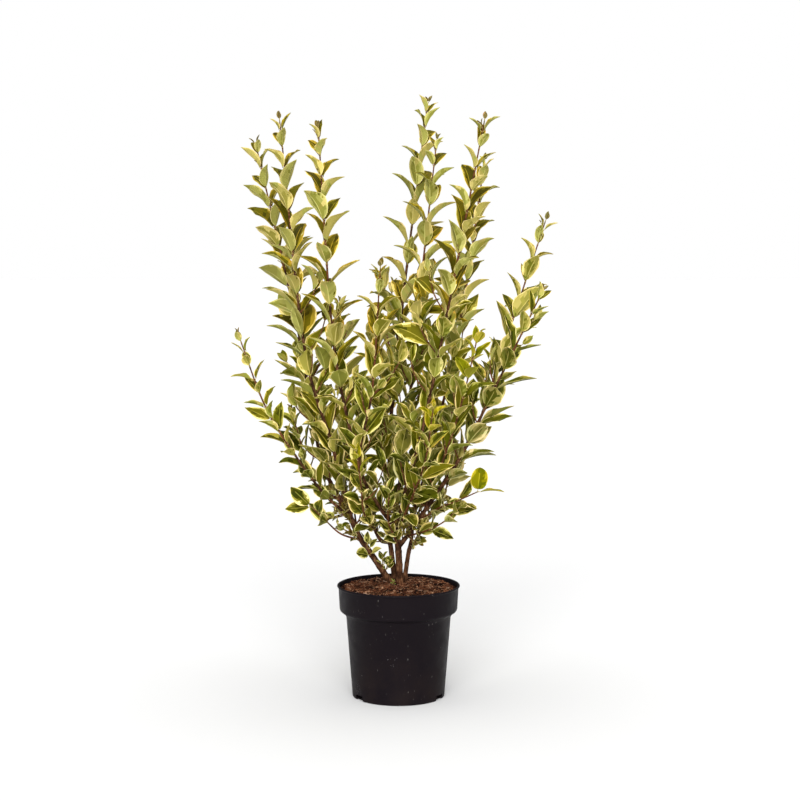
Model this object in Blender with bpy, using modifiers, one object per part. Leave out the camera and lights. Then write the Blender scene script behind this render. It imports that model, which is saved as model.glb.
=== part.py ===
"""A golden privet in a nursery pot: a shrub of upright leafy shoots on four stems.

Run it with blender --background --python part.py, or from Blender's text editor.
Metres, +Z up. The origin is the centre of the pot's flat underside, and -Y is the front.
"""

import math

import bmesh
import bpy
import numpy as np
from mathutils.bvhtree import BVHTree

MM = 0.001

# Driving dimensions of the pot
POT_HEIGHT = 0.174
RIM_RADIUS = 0.095
BASE_RADIUS = 0.0717
BODY_TOP_RADIUS = 0.081
COLLAR_BOTTOM_RADIUS = 0.0912
COLLAR_TOP_RADIUS = 0.0930
COLLAR_DEPTH = 0.042
COLLAR_SHOULDER = 0.006
WALL = 0.0016
FLOOR = 0.0025
FOOT_CHAMFER = 0.0012
LIP_SECTION_RADIUS = 0.0016
POT_STEPS = 36

# Drainage notches in the foot of the wall, by their angle from the front
NOTCH_ANGLES = (-58, 62, 180)
NOTCH_WIDTH = 0.020
NOTCH_HEIGHT = 0.006
NOTCH_REACH = 0.012

# Compost, heaped a little round the stems
COMPOST_EDGE_HEIGHT = 0.167
COMPOST_MIDDLE_HEIGHT = 0.175
COMPOST_FLAT_RADIUS = 0.032

# Clearance between solids that touch
FIT_GAP = 0.0003

# Limbs
STEM_SIDES = 8
BOUGH_SIDES = 6
FLARE = 0.22
FLARE_HEIGHT = 0.007
RING_SPACING = 0.020
CURVE_SPACING = 0.002
CURVE_STEPS = 30
SHARP_ANGLE = math.radians(50)

# Foliage: leaves stand in opposite pairs, each pair turned a quarter from the one below.
# A share is of the twig's length, or of the leaf's.
PAIR_SPACING = 0.043
PAIR_TURN = math.radians(97)
TIP_SPACING_SHARES = (0.5, 0.75)
FIRST_PAIR = 0.012
LEAF_LENGTH = 0.054
LEAF_WIDTH_SHARE = 0.62
LEAF_THICKNESS = 0.0011
LEAF_ARCH = 0.12
LEAF_FOLD = 0.24
LEAF_BROADEST = 0.45
LEAF_RISE = math.radians(43)
TIP_LEAF_RISE = math.radians(66)
TIP_LEAF_SHARE = 0.30
FULL_SIZE_AFTER = 0.075
GROWTH_POWER = 0.6
ROOT_DEPTH_SHARE = 0.25
LEVEL_VIEW = (0.12, -1.0, 0.3)

# How far single leaves stray from the rule: turn, length, width and rise
STRAY_TURN = 0.10
STRAY_LENGTH = 0.07
STRAY_WIDTH = 0.06
STRAY_RISE = 0.12
STRAY_LEAN = 0.15

# How a leaf that doesn't fit is tried again: its size, its turn and its added rise in radians
LEAF_TRIES = (
    (1.0, 0.0, 0.0),
    (1.0, 0.4, 0.0),
    (1.0, -0.4, 0.0),
    (0.85, 0.0, 0.25),
    (0.8, 0.6, 0.25),
    (0.8, -0.6, 0.25),
    (0.65, 0.0, 0.35),
)

# Twigs, and the short side twig that the lower part of a mass bears
TWIG_SIDES = 3
TWIG_TIP_RADIUS = 0.0009
TWIG_ROUNDNESS = 1.25
TWIG_RING_SPACING = 0.050
STRAIGHT_FOOT = 0.004
SIDE_TWIG_SHARE = 0.42
SIDE_TWIG_EVERY = 2
SIDE_TWIG_MOST = 1
SIDE_TWIG_LENGTH = 0.050
SIDE_TWIG_RADIUS = 0.0012
SIDE_KNEE = (0.36, 0.34)
SIDE_TIP = (0.60, 0.78)
SIDE_PAIR_SPACING = 0.024
SIDE_LEAF_SHARE = 0.86
SIDE_TIP_SHARE = 0.72
AXIL_HEIGHT = 0.006

# The space of each mass
SPACE_SPACING = 0.004
SPACE_MARGIN = 0.0012
LIMB_MARGIN = 0.002
SEED = 7

# Each stem: points from its flat foot to its fork in mm, then its radius at foot and fork
STEMS = {
    "stem_left": [(-13, 10, 175.3), (-41, 9, 218), (-62, 6, 250), (-79, 2, 290), 5.1, 4.2],
    "stem_middle_left": [(-6, 22, 175.3), (-10, 21, 212), (-13, 20, 236), 4.3, 3.8],
    "stem_middle": [(2, 9, 175.3), (0, 9, 222), (-4, 9, 266), 5.6, 4.7],
    "stem_right": [(9, 22, 175.3), (15, 22, 216), (20, 23, 238), 3.8, 3.3],
}

# Each shoot: the limb that carries it and how far along that limb, the points that it passes
# through up to its tip in mm, its radius at the foot in mm, and the bare length in mm. The
# bare length is its bough, and the rest is the stem of its mass of foliage.
SHOOTS = {
    "left_outer": ("stem_left", 0.97, [(-121, 45, 366), (-158, 75, 564), (-223, 90, 853)], 3.4, 30),
    "left_tall": ("stem_left", 0.82, [(-100, -30, 391), (-142, -50, 548), (-176, -60, 880)], 3.2, 30),
    "left_inner": (
        "stem_middle_left", 0.97,
        [(-36, 10, 258), (-73, -55, 420), (-98, -90, 572), (-116, -129, 864)], 3.2, 45,
    ),
    "left_low": (
        "stem_left", 0.90,
        [(-110, -20, 314), (-150, -30, 368), (-200, -45, 452), (-239, -58, 561)], 2.4, 30,
    ),
    "left_side": ("bough_left_outer", 0.25, [(-130, 42, 334), (-152, 60, 372), (-168, 72, 436)], 1.7, 16),
    "middle_front": (
        "stem_middle", 0.93,
        [(-30, -25, 300), (-58, -84, 375), (-38, -132, 490), (-26, -164, 664)], 3.0, 30,
    ),
    "front_young": ("bough_left_inner", 0.60, [(-52, -40, 290), (-56, -86, 340), (-62, -112, 394)], 1.7, 16),
    "crown_top": ("stem_middle", 0.98, [(-14, 42, 385), (7, 90, 611), (46, 129, 919)], 3.8, 30),
    "crown_second": (
        "stem_middle_left", 0.86,
        [(-8, 30, 275), (10, 38, 385), (32, 55, 612), (59, 60, 857)], 2.9, 42,
    ),
    "right_front": (
        "stem_middle", 0.78,
        [(8, -28, 315), (32, -70, 406), (64, -110, 559), (123, -153, 874)], 3.2, 40,
    ),
    "right_back": (
        "stem_right", 0.97,
        [(26, 40, 285), (50, 76, 368), (97, 130, 562), (138, 159, 831)], 3.0, 34,
    ),
    "right_outer": (
        "stem_middle", 0.60,
        [(22, -3, 262), (41, -18, 293), (91, -32, 371), (160, -50, 513), (214, -69, 628)], 3.9, 110,
    ),
    "right_upper": (
        "bough_right_outer", 0.82,
        [(104, -4, 388), (126, 20, 428), (181, 80, 584), (232, 109, 734)], 2.6, 25,
    ),
    "right_young": ("bough_right_outer", 0.66, [(76, -62, 400), (97, -85, 475), (117, -110, 566)], 1.8, 18),
    "low_right": ("bough_right_outer", 0.52, [(62, -46, 300), (88, -70, 314), (118, -92, 331)], 1.6, 12),
    "low_right_front": ("bough_right_outer", 0.22, [(44, -36, 264), (70, -60, 282), (90, -80, 305)], 1.6, 14),
    "front_right": ("bough_right_front", 0.40, [(24, -78, 330), (40, -128, 384), (50, -168, 462)], 1.8, 16),
    "back_left": ("bough_left_outer", 0.30, [(-84, 60, 352), (-86, 122, 440), (-96, 205, 600)], 2.2, 30),
    "back_middle": ("bough_crown_top", 0.30, [(-20, 70, 336), (-24, 135, 440), (-10, 215, 630)], 2.2, 30),
    "back_right": ("bough_right_back", 0.50, [(52, 92, 330), (86, 160, 420), (110, 222, 590)], 2.1, 30),
    "low_left": ("stem_left", 0.60, [(-88, -10, 254), (-110, -20, 275), (-134, -28, 300)], 1.7, 0),
    "low_front": ("stem_middle", 0.62, [(-8, -20, 256), (-16, -46, 282), (-14, -76, 326)], 1.6, 0),
    "low_back_right": ("stem_right", 0.70, [(40, 46, 260), (66, 80, 294), (92, 108, 345)], 1.7, 0),
    "low_back_left": ("stem_left", 0.70, [(-72, 46, 292), (-90, 82, 330), (-112, 112, 385)], 1.7, 0),
    "stem_sprig": ("stem_left", 0.38, [(-42, -6, 218), (-48, -18, 238)], 1.1, 0),
}

# Colours of the nodes, as linear RGB, with their roughness
POT_BLACK = ((0.012, 0.010, 0.012), 0.45)
COMPOST_BROWN = ((0.13, 0.055, 0.028), 0.95)
BARK_BROWN = ((0.15, 0.075, 0.045), 0.80)
VARIEGATED_GREEN = ((0.30, 0.31, 0.085), 0.55)
YOUNG_YELLOW = ((0.48, 0.42, 0.09), 0.55)
YOUNG_SHOOTS = ("right_young", "front_young", "front_right")


def clear_scene():
    for item in list(bpy.data.objects):
        bpy.data.objects.remove(item, do_unlink=True)


def new_collection(name):
    collection = bpy.data.collections.new(name)
    bpy.context.scene.collection.children.link(collection)
    return collection


def material(name, finish):
    colour, roughness = finish
    made = bpy.data.materials.new(name)
    made.use_nodes = True
    shader = made.node_tree.nodes["Principled BSDF"]
    shader.inputs["Base Color"].default_value = (*colour, 1.0)
    shader.inputs["Roughness"].default_value = roughness
    shader.inputs["Metallic"].default_value = 0.0
    return made


def add_object(name, mesh, collection):
    item = bpy.data.objects.new(name, mesh)
    collection.objects.link(item)
    return item


def mesh_from(name, corners, faces):
    mesh = bpy.data.meshes.new(name)
    mesh.from_pydata([tuple(corner) for corner in corners], [], faces)
    mesh.validate()
    return mesh


def bake_modifiers(item):
    """Replace the object's mesh by its evaluated one, and drop its modifiers."""
    graph = bpy.context.evaluated_depsgraph_get()
    mesh = bpy.data.meshes.new_from_object(item.evaluated_get(graph))
    item.modifiers.clear()
    item.data = mesh


def boolean(item, operation, other=None, collection=None):
    modifier = item.modifiers.new(operation.title(), "BOOLEAN")
    modifier.operation = operation
    if collection:
        modifier.operand_type = "COLLECTION"
        modifier.collection = collection
    else:
        modifier.object = other
    return modifier


def turned(name, profile, steps, collection):
    """A profile of (radius, height) points, turned round the Z axis."""
    corners = [(radius, 0.0, height) for radius, height in profile]
    edges = [(number, number + 1) for number in range(len(corners) - 1)]
    mesh = bpy.data.meshes.new(name)
    mesh.from_pydata(corners, edges, [])
    item = add_object(name, mesh, collection)
    screw = item.modifiers.new("Turn", "SCREW")
    screw.steps = steps
    screw.render_steps = steps
    screw.use_merge_vertices = True
    screw.merge_threshold = 0.00001
    screw.use_smooth_shade = True
    return item


def arc(centre, radius, start, end, count):
    """Points along an arc in the plane of a turned profile, between two angles in degrees."""
    angles = np.radians(np.linspace(start, end, count))
    return [(centre[0] + radius * math.cos(a), centre[1] + radius * math.sin(a)) for a in angles]


def inner_wall(clearance):
    """The pot's inside from the floor up to the collar, drawn in by a clearance."""
    collar_bottom = POT_HEIGHT - COLLAR_DEPTH
    drawn_in = WALL + clearance
    return [
        (BASE_RADIUS - drawn_in, FLOOR + clearance),
        (BODY_TOP_RADIUS - drawn_in, collar_bottom - COLLAR_SHOULDER + clearance),
        (COLLAR_BOTTOM_RADIUS - drawn_in, collar_bottom + clearance),
    ]


def collar_radius(height):
    share = (height - POT_HEIGHT + COLLAR_DEPTH) / COLLAR_DEPTH
    return COLLAR_BOTTOM_RADIUS + share * (COLLAR_TOP_RADIUS - COLLAR_BOTTOM_RADIUS)


def make_pot(collection, cutters):
    """A thin-walled pot with a wide collar, a rolled lip and notches at its foot."""
    collar_bottom = POT_HEIGHT - COLLAR_DEPTH
    lip_centre = (RIM_RADIUS - LIP_SECTION_RADIUS, POT_HEIGHT - LIP_SECTION_RADIUS)
    lip = arc(lip_centre, LIP_SECTION_RADIUS, 150, -60, 5)
    under_lip = POT_HEIGHT - 2.4 * LIP_SECTION_RADIUS
    profile = [
        (0.0, FLOOR),
        *inner_wall(0.0),
        (collar_radius(under_lip) - WALL, under_lip),
        *lip,
        (collar_radius(under_lip), under_lip),
        (COLLAR_BOTTOM_RADIUS, collar_bottom),
        (BODY_TOP_RADIUS, collar_bottom - COLLAR_SHOULDER),
        (BASE_RADIUS, FOOT_CHAMFER),
        (BASE_RADIUS - FOOT_CHAMFER, 0.0),
        (0.0, 0.0),
    ]
    pot = turned("pot", profile, POT_STEPS, collection)
    for number, angle in enumerate(NOTCH_ANGLES):
        turn = math.radians(angle - 90)
        bpy.ops.mesh.primitive_cube_add(size=1.0)
        cutter = bpy.context.object
        cutter.name = f"notch_cutter_{number}"
        cutter.scale = (NOTCH_REACH, NOTCH_WIDTH, 2 * NOTCH_HEIGHT)
        cutter.location = (BASE_RADIUS * math.cos(turn), BASE_RADIUS * math.sin(turn), 0.0)
        cutter.rotation_euler = (0.0, 0.0, turn)
        cutter.hide_render = True
        cutter.display_type = "WIRE"
        for holder in list(cutter.users_collection):
            holder.objects.unlink(cutter)
        cutters.objects.link(cutter)
        boolean(pot, "DIFFERENCE", cutter)
    pot.data.materials.append(material("black_plastic", POT_BLACK))
    return pot


def make_compost(collection):
    """Compost that fills the pot to just under its rim."""
    edge_radius = collar_radius(COMPOST_EDGE_HEIGHT) - WALL - FIT_GAP
    slope = np.linspace(0.0, 1.0, 4)
    rise = COMPOST_MIDDLE_HEIGHT - COMPOST_EDGE_HEIGHT
    top = [
        (
            COMPOST_FLAT_RADIUS + share * (edge_radius - COMPOST_FLAT_RADIUS),
            COMPOST_EDGE_HEIGHT + rise * (1 - share**1.5),
        )
        for share in slope
    ]
    profile = [(0.0, COMPOST_MIDDLE_HEIGHT), *top, *reversed(inner_wall(FIT_GAP))]
    profile.append((0.0, FLOOR + FIT_GAP))
    compost = turned("compost", profile, POT_STEPS, collection)
    compost.data.materials.append(material("compost_brown", COMPOST_BROWN))
    return compost


def smooth_path(points):
    """A Catmull-Rom curve through a few points, as points spaced evenly along it."""
    points = np.asarray(points, float)
    ends = [2 * points[0] - points[1], *points, 2 * points[-1] - points[-2]]
    curve = []
    for before, start, end, after in zip(ends, ends[1:], ends[2:], ends[3:]):
        for t in np.linspace(0, 1, CURVE_STEPS, endpoint=False):
            curve.append(
                0.5
                * (
                    2 * start
                    + (end - before) * t
                    + (2 * before - 5 * start + 4 * end - after) * t**2
                    + (3 * start - before - 3 * end + after) * t**3
                )
            )
    curve.append(points[-1])
    return even_path(np.array(curve), CURVE_SPACING)


def lengths_along(path):
    steps = np.linalg.norm(np.diff(path, axis=0), axis=1)
    return np.concatenate([[0.0], np.cumsum(steps)])


def even_path(path, spacing):
    """The path again, with its points about one spacing apart."""
    along = lengths_along(path)
    count = max(2, round(along[-1] / spacing) + 1)
    return at_lengths(path, np.linspace(0, along[-1], count))


def at_lengths(path, lengths):
    """The points that lie at these lengths along the path."""
    along = lengths_along(path)
    return np.stack([np.interp(lengths, along, path[:, axis]) for axis in range(3)], axis=-1)


def unit(vector):
    return vector / np.linalg.norm(vector)


def tangents(path):
    slopes = np.gradient(path, axis=0)
    return slopes / np.linalg.norm(slopes, axis=1)[:, None]


def tube(name, path, radii, sides, flat_foot=False):
    """A closed tapering tube along a path. A flat foot is cut level at the first point."""
    along = tangents(path)
    side = unit(np.cross(along[0], (0.31, 0.95, 0.05)))
    corners = []
    for point, direction, radius in zip(path, along, radii):
        side = unit(side - direction * np.dot(side, direction))
        across = np.cross(direction, side)
        for turn in np.arange(sides) * 2 * math.pi / sides:
            corners.append(point + radius * (math.cos(turn) * side + math.sin(turn) * across))
    corners = np.array(corners)
    if flat_foot:
        drop = (path[0][2] - corners[:sides, 2]) / along[0][2]
        corners[:sides] += drop[:, None] * along[0]
    faces = [tuple(reversed(range(sides)))]
    for ring in range(len(path) - 1):
        for corner in range(sides):
            here = ring * sides + corner
            following = ring * sides + (corner + 1) % sides
            faces.append((here, following, following + sides, here + sides))
    last = (len(path) - 1) * sides
    faces.append(tuple(range(last, last + sides)))
    return mesh_from(name, corners, faces)


class Limb:
    """A tapering limb: its path, and its radius at each point of that path."""

    def __init__(self, name, path, foot_radius, tip_radius, sides, flare=0.0):
        self.name = name
        self.sides = sides
        self.flare = flare
        along = lengths_along(path)
        self.path = path
        self.radii = np.interp(along / along[-1], (0, 1), (foot_radius, tip_radius))
        self.radii = self.radii * (1 + flare * np.exp(-along / FLARE_HEIGHT))

    def at(self, share):
        return at_lengths(self.path, share * lengths_along(self.path)[-1])

    def mesh(self, grown=0.0):
        """The limb's mesh, or a thicker and longer one that cuts its neighbours clear."""
        length = lengths_along(self.path)[-1]
        count = max(3, round(length / RING_SPACING) + 1)
        stations = np.linspace(0, length, count)
        if self.flare:
            stations = np.insert(stations, 1, FLARE_HEIGHT)
        path = at_lengths(self.path, stations)
        radii = np.interp(stations, lengths_along(self.path), self.radii)
        if grown:
            ends = tangents(path)[[0, -1]]
            path = np.vstack([path[:1] - grown * ends[:1], path, path[-1:] + grown * ends[1:]])
            radii = np.concatenate([radii[:1], radii, radii[-1:]])
            radii = radii + grown / math.cos(math.pi / self.sides)
        return tube(self.name, path, radii, self.sides, flat_foot=bool(self.flare) and not grown)


def tree_of(mesh):
    corners = [corner.co for corner in mesh.vertices]
    return BVHTree.FromPolygons(corners, [face.vertices for face in mesh.polygons])


def drop_scraps(mesh):
    """Keep the largest connected piece of the mesh, and none of the loose bits."""
    work = bmesh.new()
    work.from_mesh(mesh)
    bmesh.ops.triangulate(work, faces=work.faces)
    unseen = set(work.verts)
    pieces = []
    while unseen:
        found = [unseen.pop()]
        piece = []
        while found:
            corner = found.pop()
            piece.append(corner)
            neighbours = {edge.other_vert(corner) for edge in corner.link_edges} & unseen
            unseen -= neighbours
            found.extend(neighbours)
        pieces.append(piece)
    pieces.sort(key=len)
    loose = [corner for piece in pieces[:-1] for corner in piece]
    bmesh.ops.delete(work, geom=loose, context="VERTS")
    work.to_mesh(mesh)
    work.free()


def trim(item, limbs, helpers):
    """Cut the object back from every limb that it meets, so that a fine gap is left."""
    for limb in limbs:
        clear_of = limb.mesh(grown=FIT_GAP)
        if tree_of(item.data).overlap(tree_of(clear_of)):
            cutter = add_object("cutter", clear_of, helpers)
            boolean(item, "DIFFERENCE", cutter)
            bake_modifiers(item)
            bpy.data.objects.remove(cutter, do_unlink=True)
            drop_scraps(item.data)


def make_limbs(collection, helpers):
    """The stems, then for each shoot its bough, and the path left for its foliage."""
    bark = material("bark_brown", BARK_BROWN)
    limbs = {}
    leafy_paths = {}
    for name, (*points, foot_radius, tip_radius) in STEMS.items():
        path = smooth_path(np.array(points) * MM)
        limbs[name] = Limb(name, path, foot_radius * MM, tip_radius * MM, STEM_SIDES, FLARE)
        add_object(name, limbs[name].mesh(), collection)
    for name, (parent, share, points, radius, bare) in SHOOTS.items():
        whole = smooth_path(np.vstack([limbs[parent].at(share), np.array(points) * MM]))
        length = lengths_along(whole)[-1]
        bough_end = bare * MM
        end_radius = np.interp(bough_end / length, (0, 1), (radius * MM, TWIG_TIP_RADIUS))
        leafy_start = bough_end
        if bare:
            bough_path = at_lengths(whole, np.linspace(0, bough_end, max(3, round(bare / 2))))
            bough = Limb(f"bough_{name}", bough_path, radius * MM, end_radius, BOUGH_SIDES)
            trim(add_object(bough.name, bough.mesh(), collection), limbs.values(), helpers)
            limbs[bough.name] = bough
            leafy_start += FIT_GAP
        stations = np.linspace(leafy_start, length, max(4, round(length / 0.003)))
        leafy_paths[name] = (at_lengths(whole, stations), end_radius)
    for name in limbs:
        mesh = collection.objects[name].data
        mesh.shade_smooth()
        mesh.set_sharp_from_angle(angle=SHARP_ANGLE)
        mesh.materials.clear()
        mesh.materials.append(bark)
    return limbs, leafy_paths


def leaf_corners(root, twig_along, outward, length, rise, width_share, sunk, lean=0.0):
    """The six corners of one leaf: a folded blade that arches from its root to its tip.

    outward is the way that it leaves its twig, rise is its slope up along the twig, and sunk
    is how far its root lies beyond the twig's axis.
    """
    reach = math.cos(rise) * outward + math.sin(rise) * twig_along
    face = math.cos(rise) * twig_along - math.sin(rise) * outward
    side = np.cross(face, reach)
    face = unit(face + lean * side)
    side = np.cross(face, reach)
    half = 0.5 * LEAF_THICKNESS
    broad = LEAF_BROADEST * length
    half_width = 0.5 * width_share * length
    arch = LEAF_ARCH * length
    fold = LEAF_FOLD * half_width
    return root + np.array(
        [
            -sunk * reach,
            broad * reach + half_width * side + (arch + fold) * face,
            broad * reach - half_width * side + (arch + fold) * face,
            broad * reach + (arch + half) * face,
            broad * reach + (arch - half) * face,
            length * reach,
        ]
    )


ROOT, LEFT, RIGHT, MIDDLE_TOP, MIDDLE_UNDER, TIP = range(6)
LEAF_EDGE = [(ROOT, RIGHT), (RIGHT, TIP), (TIP, LEFT), (LEFT, ROOT)]
LEAF_FACES = [(one, other, MIDDLE_TOP) for one, other in LEAF_EDGE]
LEAF_FACES += [(other, one, MIDDLE_UNDER) for one, other in LEAF_EDGE]


def tree_of_faces(corners):
    return BVHTree.FromPolygons([tuple(corner) for corner in corners], LEAF_FACES)


class Spaces:
    """The room that each mass keeps to: the points nearer to its own stem than to any other."""

    def __init__(self, leafy_paths, limbs):
        self.stems = {name: even_path(path, SPACE_SPACING) for name, (path, _) in leafy_paths.items()}
        self.limb_points = np.vstack([limb.path for limb in limbs.values()])
        self.limb_radii = np.concatenate([limb.radii for limb in limbs.values()])

    def hold(self, name, points):
        """Whether these points lie in the mass's own space, and clear of every limb."""
        others = np.vstack([path for other, path in self.stems.items() if other != name])
        own = distances(points, self.stems[name]).min(axis=1)
        if np.any(distances(points, others).min(axis=1) < own + SPACE_MARGIN):
            return False
        apart = distances(points, self.limb_points) - self.limb_radii
        return bool(apart.min() > LIMB_MARGIN)


def distances(points, others):
    return np.linalg.norm(points[:, None, :] - others[None, :, :], axis=2)


def leaf_samples(corners):
    """Points spread over a leaf, clear of its root, that tell whether it fits."""
    pairs = [(LEFT, TIP), (RIGHT, TIP), (ROOT, LEFT), (ROOT, RIGHT), (MIDDLE_TOP, TIP)]
    between = [0.5 * (corners[one] + corners[other]) for one, other in pairs]
    return np.vstack([corners[[LEFT, RIGHT, MIDDLE_TOP, TIP]], between])


def pair_stations(length, spacing):
    """Where the pairs of leaves stand on a twig, as lengths back from its tip."""
    stations = [0.0]
    for share in TIP_SPACING_SHARES:
        stations.append(stations[-1] + share * spacing)
    while stations[-1] + spacing < length:
        stations.append(stations[-1] + spacing)
    return [station for station in stations if station < length - FIRST_PAIR]


def way_out(twig_along, turn):
    """The way out from a twig at a turn about it, measured from a level direction."""
    level = unit(np.cross(twig_along, LEVEL_VIEW))
    across = np.cross(twig_along, level)
    return math.cos(turn) * level + math.sin(turn) * across


class Twig:
    """A three-sided twig, whose leaves and side twigs stand in opposite pairs."""

    def __init__(self, path, foot_radius, full_size, tip_share, spacing, start_turn):
        length = lengths_along(path)[-1]
        rings = np.linspace(0, length, max(3, round(length / TWIG_RING_SPACING) + 1))
        self.path = at_lengths(path, np.insert(rings, 1, STRAIGHT_FOOT))
        self.length = lengths_along(self.path)[-1]
        self.foot_radius = foot_radius
        self.full_size = full_size
        self.tip_share = tip_share
        self.start_turn = start_turn
        self.stations = pair_stations(self.length, spacing)

    def radius(self, back):
        return np.interp(back / self.length, (0, 1), (TWIG_TIP_RADIUS, self.foot_radius))

    def place(self, back):
        """The point and the direction of the twig at a length back from its tip."""
        at = self.length - back
        ends = [max(at - CURVE_SPACING, 0.0), min(at + CURVE_SPACING, self.length)]
        behind, ahead = at_lengths(self.path, ends)
        return at_lengths(self.path, at), unit(ahead - behind)

    def turn(self, number):
        return self.start_turn + number * PAIR_TURN

    def mesh(self):
        radii = TWIG_ROUNDNESS * self.radius(self.length - lengths_along(self.path))
        return tube("twig", self.path, radii, TWIG_SIDES)


class Mass:
    """A mass of foliage while it grows: its stem, then its side twigs, then their leaves."""

    def __init__(self, name, path, foot_radius, spaces):
        self.name = name
        self.bough = f"bough_{name}"
        self.spaces = spaces
        self.draws = np.random.default_rng([SEED, *name.encode()])
        turn = self.draws.uniform(0, math.pi)
        self.stem = Twig(path, foot_radius, LEAF_LENGTH, TIP_LEAF_SHARE, PAIR_SPACING, turn)
        self.side_twigs = []
        self.leaves = []
        self.grow_side_twigs()
        self.twig_trees = [tree_of(twig.mesh()) for twig in self.side_twigs]
        self.grow_leaves(self.stem, None)
        for twig, tree in zip(self.side_twigs, self.twig_trees):
            self.grow_leaves(twig, tree)

    def grow_side_twigs(self):
        """Short twigs from above the lower pairs of leaves, where they find room."""
        for number, back in reversed(list(enumerate(self.stem.stations))):
            if back < (1 - SIDE_TWIG_SHARE) * self.stem.length or number % SIDE_TWIG_EVERY:
                continue
            point, along = self.stem.place(back - AXIL_HEIGHT)
            for half_turn in (0.0, math.pi):
                turn = self.stem.turn(number) + half_turn + self.draws.uniform(-0.2, 0.2)
                outward = way_out(along, turn)
                length = SIDE_TWIG_LENGTH * self.draws.uniform(0.8, 1.2)
                knee = point + length * (SIDE_KNEE[0] * outward + SIDE_KNEE[1] * along)
                tip = point + length * (SIDE_TIP[0] * outward + SIDE_TIP[1] * along)
                path = smooth_path([point, knee, tip])
                held = self.spaces.hold(self.name, path[len(path) // 3 :])
                if held and len(self.side_twigs) < SIDE_TWIG_MOST:
                    turn = self.draws.uniform(0, math.pi)
                    size = SIDE_LEAF_SHARE * LEAF_LENGTH
                    shares = (SIDE_TIP_SHARE, SIDE_PAIR_SPACING)
                    self.side_twigs.append(Twig(path, SIDE_TWIG_RADIUS, size, *shares, turn))

    def grow_leaves(self, twig, own_tree):
        """Pairs of leaves down a twig: small and steep at its tip, full-sized below."""
        others = [tree for tree in self.twig_trees if tree is not own_tree]
        for number, back in enumerate(twig.stations):
            grown = min(1.0, back / FULL_SIZE_AFTER) ** GROWTH_POWER
            size = twig.full_size * (twig.tip_share + (1 - twig.tip_share) * grown)
            rise = TIP_LEAF_RISE + (LEAF_RISE - TIP_LEAF_RISE) * min(1.0, 1.6 * grown)
            before = others + [tree_of_faces(leaf) for leaf in self.leaves]
            for half_turn in (0.0, math.pi):
                self.grow_leaf(twig, back, twig.turn(number) + half_turn, size, rise, before)

    def grow_leaf(self, twig, back, turn, size, rise, before):
        """One leaf, at the first try that keeps to the space and crosses nothing."""
        point, along = twig.place(back)
        sunk = ROOT_DEPTH_SHARE * TWIG_ROUNDNESS * twig.radius(back)
        wobble = self.draws.normal(0, 1, 4)
        for share, swing, lift in LEAF_TRIES:
            outward = way_out(along, turn + swing + STRAY_TURN * wobble[0])
            length = size * share * (1 + STRAY_LENGTH * wobble[1])
            width = LEAF_WIDTH_SHARE * (1 + STRAY_WIDTH * wobble[2])
            slope = rise + lift + STRAY_RISE * wobble[3]
            lean = STRAY_LEAN * wobble[0]
            corners = leaf_corners(point, along, outward, length, slope, width, sunk, lean)
            if not self.spaces.hold(self.name, leaf_samples(corners)):
                continue
            tree = tree_of_faces(corners)
            if not any(tree.overlap(other) for other in before):
                self.leaves.append(corners)
                return

    def build(self, collection, finish, limbs, helpers):
        """Join the stem, the side twigs and the leaves into one solid."""
        parts = new_collection(f"parts_of_{self.name}")
        for twig in self.side_twigs:
            add_object("side_twig", twig.mesh(), parts)
        for corners in self.leaves:
            add_object("leaf", mesh_from("leaf", corners, LEAF_FACES), parts)
        mass = add_object(f"foliage_{self.name}", self.stem.mesh(), collection)
        trim(mass, [limb for limb in limbs.values() if limb.name != self.bough], helpers)
        union = boolean(mass, "UNION", collection=parts)
        union.solver = "MANIFOLD"
        bake_modifiers(mass)
        for part in list(parts.objects):
            bpy.data.objects.remove(part, do_unlink=True)
        bpy.data.collections.remove(parts)
        drop_scraps(mass.data)
        mass.data.materials.clear()
        mass.data.materials.append(finish)


clear_scene()
privet = new_collection("golden_privet")
cutters = new_collection("cutters")
cutters.hide_render = True
make_pot(privet, cutters)
make_compost(privet)
limbs, leafy_paths = make_limbs(privet, cutters)
spaces = Spaces(leafy_paths, limbs)
green = material("variegated_green", VARIEGATED_GREEN)
yellow = material("young_yellow", YOUNG_YELLOW)
for name, (path, foot_radius) in leafy_paths.items():
    mass = Mass(name, path, foot_radius, spaces)
    mass.build(privet, yellow if name in YOUNG_SHOOTS else green, limbs, cutters)
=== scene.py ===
"""The looks of a golden privet in a nursery pot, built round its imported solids.

Metres, +Z up. The origin is the centre of the pot's underside, and -Y is the front.
"""

import math

import bpy
import numpy as np
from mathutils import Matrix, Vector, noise
from mathutils.bvhtree import BVHTree


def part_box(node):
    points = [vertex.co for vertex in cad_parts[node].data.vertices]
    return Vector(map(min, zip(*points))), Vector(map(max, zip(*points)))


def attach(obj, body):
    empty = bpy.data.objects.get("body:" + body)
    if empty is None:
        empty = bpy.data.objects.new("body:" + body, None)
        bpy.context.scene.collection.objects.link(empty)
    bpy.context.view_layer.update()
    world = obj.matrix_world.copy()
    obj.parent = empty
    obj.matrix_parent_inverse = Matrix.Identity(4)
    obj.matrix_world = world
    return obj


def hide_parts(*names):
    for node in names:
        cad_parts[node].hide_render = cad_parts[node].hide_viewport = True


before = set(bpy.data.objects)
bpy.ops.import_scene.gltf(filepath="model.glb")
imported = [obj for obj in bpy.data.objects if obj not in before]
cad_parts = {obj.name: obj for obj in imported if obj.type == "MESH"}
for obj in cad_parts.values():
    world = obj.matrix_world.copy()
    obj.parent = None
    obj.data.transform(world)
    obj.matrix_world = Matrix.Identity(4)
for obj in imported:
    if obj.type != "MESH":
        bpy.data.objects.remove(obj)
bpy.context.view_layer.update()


# The pot
# A round nursery pot, moulded thin from black recycled plastic, with a smooth collar to grip and
# a rolled lip. It stands on its flat base, and three notches at the foot let the water out.

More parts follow.
